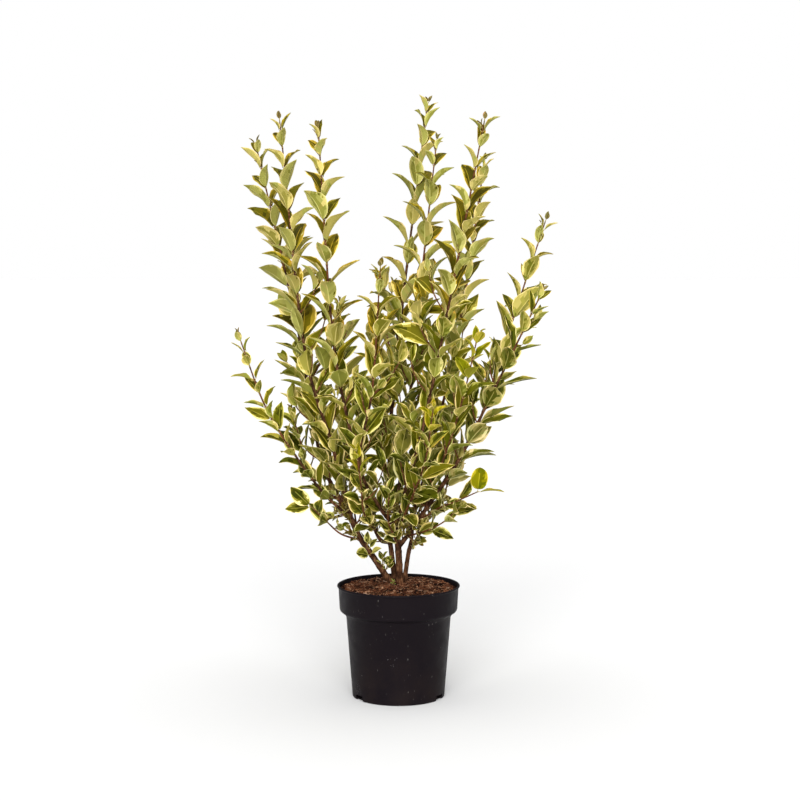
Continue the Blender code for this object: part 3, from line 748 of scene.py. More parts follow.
def tubes_mesh(name, tubes, sides):
    """One mesh of many closed tubes, each of them given as the corners of its rings."""
    faces = []
    start = 0
    for rings in tubes:
        own = strand_faces(len(rings) // sides, sides)
        faces += [tuple(start + corner for corner in face) for face in own]
        start += len(rings)
    mesh = bpy.data.meshes.new(name)
    mesh.from_pydata([tuple(corner) for corner in np.concatenate(tubes)], [], faces)
    return mesh


def limb_skins():
    """A rough tube round each limb, thickened here and there where a leaf or a twig once stood."""
    draws = np.random.default_rng(BARK_SEED)
    tubes = []
    for name, limb in limbs.items():
        path, radii = limb.path, limb.radii
        if name.startswith("stem"):
            foot = path[0] - np.array([0, 0, SUNK_FOOT])
            path, radii = np.vstack([[foot], path]), np.concatenate([radii[:1], radii])
        along = lengths_along(path)
        swollen = np.ones(len(path))
        scars = np.arange(SCAR_START, along[-1], SCAR_SPACING) + draws.uniform(-SCAR_STRAY, SCAR_STRAY)
        for place in scars:
            near = np.exp(-(((along - place) / SCAR_HALF_LENGTH) ** 2))
            swollen += draws.uniform(*SCAR_SWELLING) * near
        tubes.append(round_rings(path, radii * swollen, SKIN_SIDES))
    return tubes_mesh("limb_skins", tubes, SKIN_SIDES)


def bark_relief(mesh):
    """Shallow cracks along the bark and small raised pores, as real relief."""
    places = np.zeros(len(mesh.vertices) * 3)
    ways = np.zeros(len(mesh.vertices) * 3)
    mesh.vertices.foreach_get("co", places)
    mesh.vertices.foreach_get("normal", ways)
    places, ways = places.reshape(-1, 3), ways.reshape(-1, 3)
    heights = []
    for x, y, z in places:
        crack = noise.noise((x * 620, y * 620, z * 130))
        lump = noise.noise((x * 210, y * 210, z * 120 + 9))
        pore = noise.noise((x * 900, y * 900, z * 700 + 4))
        raised = PORE_HEIGHT * max(0.0, pore - PORE_RARITY)
        heights.append(LUMP_HEIGHT * lump - CRACK_DEPTH * abs(crack) + raised)
    places += ways * np.array(heights)[:, None]
    mesh.vertices.foreach_set("co", places.astype(np.float32).ravel())
    mesh.update()


def bark_finish():
    """Brown and tan grain drawn out along the limb, with darker patches and a few pale pores."""
    finish = Finish("privet_bark", 0.84, 0.06)
    grain_place = finish.stretched((1.0, 1.0, 0.22))
    grain = finish.noise(420, 5, 0.65, grain_place)
    colour = finish.ramp(grain, (0.30, BARK_DARK), (0.48, BARK_BROWN), (0.68, BARK_TAN))
    shade = finish.between(finish.noise(90, 3), 0.38, 0.62, 0.0, 0.90)
    colour = finish.mixed(shade, colour, BARK_DARK)
    pores = finish.between(finish.cells(620), 0.16, 0.06)
    some = finish.between(finish.noise(160, 1), 0.52, 0.60)
    finish.colour(finish.mixed(finish.times(pores, some), colour, BARK_PORE))
    finish.bump(grain, 0.0004, 0.7)
    return finish.material


bark = shown("stems_and_boughs", limb_skins())
skin = bark.modifiers.new("Skin", "REMESH")
skin.mode = "VOXEL"
skin.voxel_size = SKIN_GRAIN
fillets = bark.modifiers.new("Fillets", "SMOOTH")
fillets.iterations = SKIN_SMOOTHING
fillets.factor = 0.5
settled(bark)
bark_relief(bark.data)
bark.data.shade_smooth()
bark.data.materials.clear()
bark.data.materials.append(bark_finish())
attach(bark, "root")
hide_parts(*limbs)


# The shoots
# Each bough runs on as an upright whip with leaves in opposite pairs at its joints, short side
# twigs low down on it, and small sprigs in its axils. It keeps to the room round its own stem.

SEED = 7
PAIR_SPACING = 0.0315
PAIR_TURN = math.radians(97)
TIP_SPACING_SHARES = (0.5, 0.75)
FIRST_PAIR = 0.010
FIRST_PAIR_SHARE = 0.3
STEM_STEP = 0.004
SPACE_MARGIN = -0.007
LIMB_MARGIN = 0.0012
SPUR_LIMB_MARGIN = 0.0004
LEVEL_VIEW = (0.12, -1.0, 0.3)

# Side twigs, axil sprigs, buds and spurs. A knee and a tip are shares of the twig's length, out
# from its stem and along it.
SIDE_TWIG_SHARE = 0.60
SIDE_TWIG_HIGHEST = 0.50
SIDE_TWIG_OUTWARD = 0.010
SIDE_TWIG_LENGTH = 0.060
SIDE_TWIG_RADIUS = 0.0011
SIDE_TWIG_STRAY = 0.2
SIDE_KNEE = (0.36, 0.34)
SIDE_TIP = (0.60, 0.78)
SIDE_PAIR_SPACING = 0.0250
SIDE_FULL_SIZE_AFTER = 0.030
SIDE_TIP_SHARE = 0.40
STRAY_LENGTHS = (0.6, 1.3)
AXIL_HEIGHT = 0.005
AXIL_LENGTH = 0.017
AXIL_KNEE = (0.32, 0.35)
AXIL_TIP = (0.55, 0.8)
AXIL_LEAF = 0.036
AXIL_TIP_SHARE = 0.75
AXIL_SHARE = 0.32
AXIL_LOWEST = 0.30
AXIL_HIGHEST = 0.62
AXIL_BARE_TIP = 0.2
BUD_SHARE = 0.45
BUD_LENGTH = 0.0055
BUD_LEAF = 0.012
SPUR_SPACING = 0.0115
SPUR_START = 0.25 * SPUR_SPACING
SPUR_LENGTH = 0.022
SPUR_STRAY_LENGTHS = (0.5, 1.2)
SPUR_KNEE = (0.425, 0.2)
SPUR_TIP = (0.75, 0.65)
SPUR_PAIR_SPACING = 0.6 * SIDE_PAIR_SPACING
SPUR_LOWEST = 0.236
SPUR_LEAF = 0.034
SPUR_TIP_SHARE = 0.6
SPRIG_RADIUS = 0.0008
SPRIG_TIP_SHARE = 0.8
SPRIG_SAG = 0.12

# The leaves' sizes and how they stand: smaller and broader low down, small and steep at the tips
LEAF_LENGTH = 0.062
LOW_LEAF_SHARE = 0.68
LOW_LEAVES = 0.24
HIGH_LEAVES = 0.41
LEAF_WIDTH_SHARES = (0.61, 0.51)
LEAF_ARCH = 0.12
LEAF_FOLD = 0.24
LEAF_BROADEST = 0.42
LEAF_RISE = math.radians(45)
TIP_LEAF_RISE = math.radians(66)
TIP_LEAF_SHARE = 0.24
LOW_TIP_SHARE = 0.62
FULL_SIZE_AFTER = 0.16
GROWTH_POWER = 0.5
RISE_EASING = 1.6
STRAY_TURN = 0.12
STRAY_LENGTH = 0.08
STRAY_WIDTH = 0.07
STRAY_RISE = 0.13
STRAY_LEAN = 0.18
NEAR_LEAVES = 0.060

# Shoots whose leaves are smaller or larger than their neighbours', as a share of them
SHOOT_SIZES = {
    "left_low": 0.70, "left_side": 0.62, "low_front": 0.85, "stem_sprig": 0.80, "low_left": 1.10,
    "low_right": 1.05,
}

# Shoots whose leaves are nearly as large at the tip as lower down
FULL_TIPS = (
    "low_left", "low_right", "low_right_front", "low_front", "low_back_right", "low_back_left",
    "stem_sprig",
)

# How much of a shoot's foot is bare
BARE_FEET = {"low_left": 0.050}

# Leaves at a shoot's end that are set one by one: how far back from the tip in mm, which way they
# reach and face, their length in mm, and their width as a share of it
END_LEAVES = {
    "low_right": (
        (0, (0.10, -0.10, 0.97), (-0.05, -0.95, 0.0), 38, 0.86),
        (0, (0.96, -0.20, 0.02), (0.0, 0.10, 1.0), 40, 0.46),
    ),
    "low_left": (
        (0, (-0.70, -0.15, 0.70), (-0.45, -0.70, 0.50), 43, 0.66),
        (2, (-0.96, -0.12, -0.06), (-0.15, -0.80, 0.60), 40, 0.60),
        (16, (-0.85, -0.40, 0.30), (0.15, -0.70, 0.70), 30, 0.72),
        (17, (0.20, -0.60, 0.75), (-0.40, -0.80, 0.00), 32, 0.66),
    ),
    "stem_sprig": (
        (20, (-0.85, -0.40, 0.20), (0.10, -0.80, 0.60), 24, 0.92),
        (17, (0.80, -0.35, 0.45), (-0.35, -0.70, 0.60), 21, 0.64),
        (8, (0.62, -0.05, 0.75), (-0.60, -0.72, 0.30), 21, 0.62),
        (0, (0.05, -0.15, 1.0), (-0.30, -0.95, 0.0), 22, 0.58),
    ),
}

# Shoots whose side twigs reach further out than others' do, or less far, shoots that have no
# sprigs in their leaves' axils, and shoots whose side twigs stand up to a height of their own
WIDE_SHOOTS = {"left_outer": 0.035, "left_low": -0.010, "right_front": 0.020}
SPARSE_SHOOTS = ("left_low", "left_side")
BUSHY_SHOOTS = {
    "left_outer": 0.52, "left_tall": 0.70, "crown_top": 0.58, "crown_second": 0.60,
    "right_back": 0.66, "right_front": 0.64,
}

# How a leaf that doesn't fit is tried again: its size, its turn and its added rise in radians
LEAF_TRIES = (
    (1.0, 0.0, 0.0),
    (1.0, 0.4, 0.0),
    (1.0, -0.4, 0.0),
    (0.85, 0.0, 0.25),
    (0.8, 0.6, 0.25),
    (0.8, -0.6, 0.25),
    (0.65, 0.0, 0.35),
)

# Shoots whose leaves are still young and yellow-green, and how far down from the tip: 0 where
# that is only the leaves set one by one
YOUNG_SHOOTS = {"right_young": 0.10, "front_young": 0.05, "front_right": 0.05, "low_right": 0.0}

# Each small shoot at the foot of the stems: where it starts and ends in mm, and the length and
# the spacing of its leaves
SPRIGS = {
    "foot_sprig": ((-25, 9, 196), (-24, 0, 212), 30, 8),
    "second_sprig": ((-22, 8, 193), (-17, -5, 204), 26, 7),
    "sprout": ((-6, -3, 173), (-9, -13, 181), 8, 2.5),
    "inner_sprig": ((-12, 20, 228), (-20, 0, 248), 30, 10),
    "fork_sprig": ((-1, 9, 236), (-9, -14, 254), 32, 11),
    "right_sprig": ((16, 22, 224), (29, 2, 246), 30, 10),
    "left_sprig": ((-55, 7, 240), (-70, -8, 252), 28, 9),
}


def distances(points, others):
    return np.linalg.norm(points[:, None, :] - others[None, :, :], axis=2)


class Spaces:
    """The room that each shoot keeps to: about the points nearer to its own stem than to others."""

    def __init__(self):
        self.stems = {name: even_path(path, STEM_STEP) for name, (path, _) in leafy_paths.items()}
        self.others = {
            name: np.vstack([path for other, path in self.stems.items() if other != name])
            for name in self.stems
        }
        self.limb_points = np.vstack([limb.path for limb in limbs.values()])
        self.limb_radii = np.concatenate([limb.radii for limb in limbs.values()])

    def hold(self, name, points):
        """Whether these points lie in the shoot's own space, and clear of every limb."""
        own = distances(points, self.stems[name]).min(axis=1)
        if np.any(distances(points, self.others[name]).min(axis=1) < own + SPACE_MARGIN):
            return False
        return self.clear(points)

    def clear(self, points):
        apart = distances(points, self.limb_points) - self.limb_radii
        return bool(apart.min() > LIMB_MARGIN)


class LimbSpaces(Spaces):
    """A spur's leaves need only stay clear of the limbs, and may stand close to their own."""

    def hold(self, name, points):
        apart = distances(points, self.limb_points) - self.limb_radii
        return bool(apart.min() > SPUR_LIMB_MARGIN)


def pair_stations(length, spacing):
    """Where the pairs of leaves stand on a twig, as lengths back from its tip."""
    stations = [0.0]
    for share in TIP_SPACING_SHARES:
        stations.append(stations[-1] + share * spacing)
    while stations[-1] + spacing < length:
        stations.append(stations[-1] + spacing)
    lowest = length - min(FIRST_PAIR, FIRST_PAIR_SHARE * length)
    return [station for station in stations if station < lowest]


def way_out(twig_along, turn):
    """The way out from a twig at a turn about it, measured from a level direction."""
    level = unit(np.cross(twig_along, LEVEL_VIEW))
    across = np.cross(twig_along, level)
    return math.cos(turn) * level + math.sin(turn) * across


def bent_path(point, outward, along, length, knee, tip):
    """The path of a short twig that leaves its stem and then turns up beside it."""
    bends = [point + length * (out * outward + up * along) for out, up in (knee, tip)]
    return smooth_path([point, *bends])


class Twig:
    """A twig whose leaves and side twigs stand in opposite pairs."""

    def __init__(self, path, foot_radius, full_size, tip_share, spacing, start_turn):
        self.path = path
        self.length = lengths_along(path)[-1]
        self.foot_radius = foot_radius
        self.full_size = full_size
        self.tip_share = tip_share
        self.start_turn = start_turn
        self.stations = pair_stations(self.length, spacing)

    def radius(self, back):
        return np.interp(back / self.length, (0, 1), (TWIG_TIP_RADIUS, self.foot_radius))

    def place(self, back):
        """The point and the direction of the twig at a length back from its tip."""
        at = self.length - back
        ends = [max(at - CURVE_SPACING, 0.0), min(at + CURVE_SPACING, self.length)]
        behind, ahead = at_lengths(self.path, ends)
        return at_lengths(self.path, at), unit(ahead - behind)

    def turn(self, number):
        return self.start_turn + number * PAIR_TURN


ROOT, LEFT, RIGHT, MIDDLE, TIP = range(5)
OUTLINE_FACES = [(ROOT, RIGHT, MIDDLE), (RIGHT, TIP, MIDDLE), (TIP, LEFT, MIDDLE), (LEFT, ROOT, MIDDLE)]


def leaf_ways(twig_along, outward, rise, lean):
    """A leaf's three directions: along it, up from its upper side, and across it."""
    reach = math.cos(rise) * outward + math.sin(rise) * twig_along
    face = math.cos(rise) * twig_along - math.sin(rise) * outward
    face = unit(face + lean * np.cross(face, reach))
    return reach, face, np.cross(face, reach)


def leaf_outline(root, ways, length, width_share):
    """Five corners that stand for a leaf while its room is tried."""
    reach, face, side = ways
    half_width = 0.5 * width_share * length
    middle = root + length * (LEAF_BROADEST * reach + LEAF_ARCH * face)
    edge = middle + LEAF_FOLD * half_width * face
    left, right = edge + half_width * side, edge - half_width * side
    return np.array([root, left, right, middle, root + length * reach])


def outline_samples(corners):
    """Points spread over a leaf, clear of its root, that tell whether it fits."""
    pairs = [(LEFT, TIP), (RIGHT, TIP), (ROOT, LEFT), (ROOT, RIGHT), (MIDDLE, TIP)]
    between = [0.5 * (corners[one] + corners[other]) for one, other in pairs]
    return np.vstack([corners[[LEFT, RIGHT, MIDDLE, TIP]], between])


class Leaf:
    """Where one leaf stands, which way it faces, and how large it is."""

    def __init__(self, root, ways, length, width_share, twig_radius, young):
        self.root = root
        self.reach, self.face, self.side = ways
        self.length = length
        self.width_share = width_share
        self.twig_radius = twig_radius
        self.young = young
        self.middle = root + 0.5 * length * self.reach


class Leafage:
    """Every leaf grown so far, sorted into cubes of space so that near ones are found quickly."""

    def __init__(self):
        self.cubes = {}

    def cube(self, point):
        return tuple(int(value) for value in np.floor(point / NEAR_LEAVES))

    def add(self, point, tree):
        self.cubes.setdefault(self.cube(point), []).append(tree)

    def near(self, point):
        x, y, z = self.cube(point)
        found = []
        for number in range(27):
            key = (x + number % 3 - 1, y + number // 3 % 3 - 1, z + number // 9 - 1)
            found += self.cubes.get(key, [])
        return found


class Shoot:
    """One shoot while it grows: its stem, then its side twigs, then their leaves."""

    def __init__(self, name, spaces, leafage):
        self.name = name
        self.spaces = spaces
        self.leafage = leafage
        self.draws = np.random.default_rng([SEED, *name.encode()])
        self.stem = None
        self.side_twigs = []
        self.leaves = []
        self.neighbours = []
        self.grow()

    def grow(self):
        path, foot_radius = leafy_paths[self.name]
        turn = self.draws.uniform(0, math.pi)
        scale = SHOOT_SIZES.get(self.name, 1.0)
        tip_share = LOW_TIP_SHARE if self.name in FULL_TIPS else max(TIP_LEAF_SHARE, 1 - scale)
        spacing = min(1.0, scale) * PAIR_SPACING
        self.stem = Twig(path, foot_radius, scale * LEAF_LENGTH, tip_share, spacing, turn)
        highest = self.stem.length - BARE_FEET.get(self.name, 0.0)
        self.stem.stations = [station for station in self.stem.stations if station < highest]
        for leaf in END_LEAVES.get(self.name, ()):
            self.end_leaf(*leaf)
        self.grow_leaves(self.stem)
        self.grow_side_twigs()
        for twig in self.side_twigs:
            self.grow_leaves(twig)

    def end_leaf(self, back, reach, face, length, width):
        """A leaf near the stem's tip that is set by itself, in place of the pairs there."""
        reach = unit(np.array(reach))
        side = unit(np.cross(face, reach))
        point, _ = self.stem.place(back * MM)
        self.stem.stations = [station for station in self.stem.stations if station > back * MM]
        self.neighbours = self.leafage.near(point)
        ways = (reach, np.cross(reach, side), side)
        self.place_leaf(point, ways, length * MM, width, TWIG_TIP_RADIUS, self.name in YOUNG_SHOOTS)

    def place_leaf(self, point, ways, length, width, twig_radius, young):
        """Adds the leaf unless it crosses another."""
        corners = leaf_outline(point, ways, length, width)
        tree = BVHTree.FromPolygons([tuple(corner) for corner in corners], OUTLINE_FACES)
        if any(tree.overlap(other) for other in self.neighbours):
            return False
        self.leafage.add(point, tree)
        self.leaves.append(Leaf(point, ways, length, width, twig_radius, young))
        return True

    def add_twig(self, path, leaf_length, tip_share, spacing):
        turn = self.draws.uniform(0, math.pi)
        self.side_twigs.append(Twig(path, SIDE_TWIG_RADIUS, leaf_length, tip_share, spacing, turn))

    def side_twig(self, point, along, turn, length):
        """A short twig beside the stem, where there is room and it doesn't reach out too far."""
        path = bent_path(point, way_out(along, turn), along, length, SIDE_KNEE, SIDE_TIP)
        outward_reach = WIDE_SHOOTS.get(self.name, SIDE_TWIG_OUTWARD)
        reaches_out = math.hypot(*path[-1][:2]) > math.hypot(*point[:2]) + outward_reach
        if not reaches_out and self.spaces.hold(self.name, path[len(path) // 3 :]):
            self.add_twig(path, LEAF_LENGTH, SIDE_TIP_SHARE, SIDE_PAIR_SPACING)

    def axil_sprig(self, number, point, along, length, leaf_length):
        """A sprig in a leaf's axil, with a pair or two of small leaves, or just its opening bud."""
        turn = self.stem.turn(number) + math.pi * self.draws.integers(2)
        length *= self.draws.uniform(*STRAY_LENGTHS)
        path = bent_path(point, way_out(along, turn), along, length, AXIL_KNEE, AXIL_TIP)
        if self.spaces.clear(path[len(path) // 2 :]):
            spacing = min(0.5 * SIDE_PAIR_SPACING, 1.2 * length)
            self.add_twig(path, leaf_length, AXIL_TIP_SHARE, spacing)

    def grow_side_twigs(self):
        """Short twigs from above the lower pairs of leaves, where they find room."""
        for number, back in reversed(list(enumerate(self.stem.stations))):
            if back < AXIL_HEIGHT:
                continue
            point, along = self.stem.place(back - AXIL_HEIGHT)
            highest = BUSHY_SHOOTS.get(self.name, SIDE_TWIG_HIGHEST)
            bare = self.name in SPARSE_SHOOTS or not AXIL_LOWEST < point[2] < AXIL_HIGHEST
            in_reach = not bare and back > AXIL_BARE_TIP * self.stem.length
            if in_reach and self.draws.uniform() < AXIL_SHARE:
                self.axil_sprig(number, point, along, AXIL_LENGTH, AXIL_LEAF)
            if point[2] > AXIL_HIGHEST and self.draws.uniform() < BUD_SHARE:
                self.axil_sprig(number, point, along, BUD_LENGTH, BUD_LEAF)
            if back < (1 - SIDE_TWIG_SHARE) * self.stem.length or point[2] > highest:
                continue
            for half_turn in (0.0, math.pi):
                stray = self.draws.uniform(-SIDE_TWIG_STRAY, SIDE_TWIG_STRAY)
                turn = self.stem.turn(number) + half_turn + stray
                length = SIDE_TWIG_LENGTH * self.draws.uniform(*STRAY_LENGTHS)
                self.side_twig(point, along, turn, length)

    def grow_leaves(self, twig):
        """Pairs of leaves down a twig: small and steep at its tip, full-sized below."""
        for number, back in enumerate(twig.stations):
            full_after = SIDE_FULL_SIZE_AFTER if twig in self.side_twigs else FULL_SIZE_AFTER
            grown = min(1.0, back / full_after) ** GROWTH_POWER
            size = twig.full_size * (twig.tip_share + (1 - twig.tip_share) * grown)
            rise = TIP_LEAF_RISE + (LEAF_RISE - TIP_LEAF_RISE) * min(1.0, RISE_EASING * grown)
            point, _ = twig.place(back)
            self.neighbours = self.leafage.near(point)
            for half_turn in (0.0, math.pi):
                self.grow_leaf(twig, back, twig.turn(number) + half_turn, size, rise)

    def grow_leaf(self, twig, back, turn, size, rise):
        """One leaf, at the first try that keeps to the space and crosses nothing."""
        point, along = twig.place(back)
        height = np.interp(point[2], (LOW_LEAVES, HIGH_LEAVES), (0, 1))
        size *= LOW_LEAF_SHARE + (1 - LOW_LEAF_SHARE) * height
        wobble = self.draws.normal(0, 1, 4)
        width = np.interp(height, (0, 1), LEAF_WIDTH_SHARES) * (1 + STRAY_WIDTH * wobble[2])
        young = twig is self.stem and back < YOUNG_SHOOTS.get(self.name, 0.0)
        for share, swing, lift in LEAF_TRIES:
            outward = way_out(along, turn + swing + STRAY_TURN * wobble[0])
            length = size * share * (1 + STRAY_LENGTH * wobble[1])
            slope = rise + lift + STRAY_RISE * wobble[3]
            ways = leaf_ways(along, outward, slope, STRAY_LEAN * wobble[0])
            samples = outline_samples(leaf_outline(point, ways, length, width))
            if not self.spaces.hold(self.name, samples):
                continue
            if self.place_leaf(point, ways, length, width, twig.radius(back), young):
                return


class Spurs(Shoot):
    """The short leafy spurs that stand straight on a stem or a bough, low down."""

    def grow(self):
        path = limbs[self.name].path
        length = lengths_along(path)[-1]
        for at in np.arange(SPUR_START, length, SPUR_SPACING):
            point, ahead = at_lengths(path, [at, min(at + CURVE_SPACING, length)])
            if point[2] > SPUR_LOWEST and np.linalg.norm(ahead - point) > 0:
                self.spur(point, unit(ahead - point))
        for twig in self.side_twigs:
            self.grow_leaves(twig)

    def spur(self, point, along):
        outward = way_out(along, self.draws.uniform(0, 2 * math.pi))
        length = SPUR_LENGTH * self.draws.uniform(*SPUR_STRAY_LENGTHS)
        path = bent_path(point, outward, along, length, SPUR_KNEE, SPUR_TIP)
        self.add_twig(path, SPUR_LEAF, SPUR_TIP_SHARE, SPUR_PAIR_SPACING)


class Sprig(Shoot):
    """A small shoot from the foot of a stem, with its leaves close together."""

    def grow(self):
        foot, tip, leaf_length, spacing = SPRIGS[self.name]
        foot, tip = np.array(foot) * MM, np.array(tip) * MM
        sag = SPRIG_SAG * np.linalg.norm(tip - foot)
        path = smooth_path([foot, 0.5 * (foot + tip) - np.array([0, 0, sag]), tip])
        turn = self.draws.uniform(0, math.pi)
        twig = Twig(path, SPRIG_RADIUS, leaf_length * MM, SPRIG_TIP_SHARE, spacing * MM, turn)
        self.side_twigs.append(twig)
        self.grow_leaves(twig)


leafage = Leafage()
spaces = Spaces()
near_limbs = LimbSpaces()
shoots = [Shoot(name, spaces, leafage) for name in leafy_paths]
shoots += [Spurs(name, near_limbs, leafage) for name in limbs]
shoots += [Sprig(name, near_limbs, leafage) for name in SPRIGS]
foliage_nodes = [f"foliage_{name}" for name in leafy_paths]


# The twigs
# Brown wood with the boughs' own bark low down, wiry and dark purple-brown above, and soft and
# olive-brown at the very ends. Each is slightly swollen at the joints that bear its leaves.

TWIG_SIDES = 7
TWIG_RING_SPACING = 0.0030
TWIG_CREASE = math.radians(60)
JOINT_SWELLING = 0.30
JOINT_HALF_LENGTH = 0.0013
WOODY_RADIUS = 0.0017
WOODY_SIDES = 12
WOODY_RING_SPACING = 0.0016
WOODY_OVERLAP = 0.002
WOODY_SWELLING = 0.16
WOODY_SWELLING_LENGTH = 0.0018
SHORTEST_WOOD = 0.012
OLD_WOOD_RADIUS = 0.0019
STREAK_SHARE = 0.35
SOFT_LENGTH = 0.008
JOINT_BAND = 0.0008
CLOSEST_RINGS = 0.0004
YOUNG_JOINTS = 0.20


def srgb(red, green, blue):
    """A colour of the photograph's scale, 0 to 255, as the linear RGB that Blender mixes."""
    scaled = np.array([red, green, blue]) / 255
    return tuple(np.where(scaled < 0.04045, scaled / 12.92, ((scaled + 0.055) / 1.055) ** 2.4))


TWIG_FINISHES = (
    plain_finish("twig_brown", srgb(106, 76, 46), 0.72, 0.1),
    plain_finish("twig_dark", srgb(80, 50, 30), 0.68, 0.1),
    plain_finish("twig_purple", srgb(106, 62, 37), 0.58, 0.15),
    plain_finish("twig_soft", srgb(104, 84, 44), 0.55, 0.12),
    plain_finish("twig_joint", srgb(140, 112, 66), 0.65, 0.1),
)
OLD_WOOD, DARK_WOOD, WHIP, SOFT_END, JOINT = range(5)


def twig_rings(twig, first):
    """The twig's rings of corners from a length on, and how far along it and from a joint each
    ring lies."""
    count = max(4, round((twig.length - first) / TWIG_RING_SPACING))
    joints = twig.length - np.array(twig.stations[1:] or [0.0])
    ends = [joints, joints - JOINT_HALF_LENGTH, joints + JOINT_HALF_LENGTH]
    at = np.unique(np.concatenate([np.linspace(first, twig.length, count), *ends]))
    at = at[(at >= first) & (at <= twig.length)]
    at = at[np.concatenate([[True], np.diff(at) > CLOSEST_RINGS])]
    nearest = np.abs(at[:, None] - joints[None, :]).min(axis=1)
    radii = twig.radius(twig.length - at)
    radii = radii * (1 + JOINT_SWELLING * np.exp(-((nearest / JOINT_HALF_LENGTH) ** 2)))
    return round_rings(at_lengths(twig.path, at), radii, TWIG_SIDES), at, nearest


def twig_colours(twig, at, nearest, draws):
    """Which finish the faces between two rings take, from old wood to the soft end."""
    back = twig.length - at
    old = twig.radius(back) > OLD_WOOD_RADIUS
    streaks = draws.uniform(0, 1, len(at)) < STREAK_SHARE
    finish = np.where(streaks, DARK_WOOD, np.where(old, OLD_WOOD, WHIP))
    finish[back < SOFT_LENGTH] = SOFT_END
    finish[(nearest < JOINT_BAND) & (back < YOUNG_JOINTS)] = JOINT
    return finish[:-1]


def woody_end(twig):
    """How far along it a shoot's stem is old wood, with bark like the boughs'."""
    return twig.length * np.interp(-WOODY_RADIUS, (-twig.foot_radius, -TWIG_TIP_RADIUS), (0, 1))


def woody_mesh():
    """The old wood of every shoot, as closely ringed tubes whose corners carry the bark's relief."""
    tubes = []
    for twig in (shoot.stem for shoot in shoots):
        if twig is None or woody_end(twig) < SHORTEST_WOOD:
            continue
        at = np.arange(0, woody_end(twig) + WOODY_OVERLAP, WOODY_RING_SPACING)
        joints = twig.length - np.array(twig.stations)
        nearest = np.abs(at[:, None] - joints[None, :]).min(axis=1)
        swollen = 1 + WOODY_SWELLING * np.exp(-((nearest / WOODY_SWELLING_LENGTH) ** 2))
        radii = twig.radius(twig.length - at) * swollen
        tubes.append(round_rings(at_lengths(twig.path, at), radii, WOODY_SIDES))
    mesh = tubes_mesh("woody_shoots", tubes, WOODY_SIDES)
    mesh.update()
    bark_relief(mesh)
    mesh.shade_smooth()
    mesh.materials.append(bark.data.materials[0])
    return mesh


def twig_mesh():
    """Every stem above its old wood, and the side twigs, joined."""
    draws = np.random.default_rng(SEED)
    tubes, dealt = [], []
    for shoot in shoots:
        parts = [(twig, 0.0) for twig in shoot.side_twigs]
        if shoot.stem is not None:
            parts.insert(0, (shoot.stem, max(0.0, woody_end(shoot.stem) - WOODY_OVERLAP)))
        for twig, first in parts:
            rings, at, nearest = twig_rings(twig, first)
            along = twig_colours(twig, at, nearest, draws)
            dealt += [along[0], *np.repeat(along, TWIG_SIDES), along[-1]]
            tubes.append(rings)
    mesh = tubes_mesh("twigs", tubes, TWIG_SIDES)
    for finish in TWIG_FINISHES:
        mesh.materials.append(finish)
    mesh.polygons.foreach_set("material_index", np.array(dealt, np.int32))
    mesh.shade_smooth()
    mesh.set_sharp_from_angle(angle=TWIG_CREASE)
    return mesh


for piece in (shown("woody_shoots", woody_mesh()), shown("twigs", twig_mesh())):
    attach(piece, "root")
    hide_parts(*foliage_nodes)


# The leaves
# Leathery oval leaves on short stalks, folded up along the midrib and arched back. They are
# green, edged unevenly with cream or gold, and pale underneath: smaller and rounder low down.
# Their darker upper sides and paler undersides are partly the leaves' own colour and partly
# painted: painted shade on the upper side, painted light underneath.

# A blade is a grid: rows lie along the side veins, which sweep forward, and its columns part it
# into midrib, dark middle, paler flank and edge, so that each colour ends in a smooth line.
BLADE_THICKNESS = 0.00042
BLADE_RISE_POWER = 0.80
BLADE_TIP_POWERS = ((0.54, 0.66, 0.90), (1.16, 0.92, 0.66))
VEIN_SWEEP = 0.17
VEIN_RELIEF = 0.0090
RIB_HALF_WIDTH = 0.038
RIB_DEPTH = 0.0003
FEATHERING = 0.45
SMALL_LEAF = 0.034
TIP_LEAF = 0.018
LEAF_CREASE = math.radians(80)
MOST_TRIANGLES = 199_000
LEAST_BEND = 0.08
TWIST_PIVOT = 0.3
EDGE_WAVE = 11.0
EDGE_WAVE_HEIGHTS = (0.008, 0.045)
EDGE_THINNING = 0.4
FOLD_EASING = 0.28
PETIOLE_LENGTH = 0.0032
PETIOLE_RADIUS = 0.00060
PETIOLE_SIDES = 5
PETIOLE_RINGS = 4
PETIOLE_SUNK = 0.0012

# How the line between green and edge wanders: waves along the leaf and their shares, and the
# least and the most of the half width that lies inside it
LINE_WAVES = ((0.8, 0.6), (2.1, 0.4), (4.4, 0.34))
LINE_LIMITS = (0.42, 0.93)
BAND_SWAY = 0.13
BAND_WAVES = 1.7


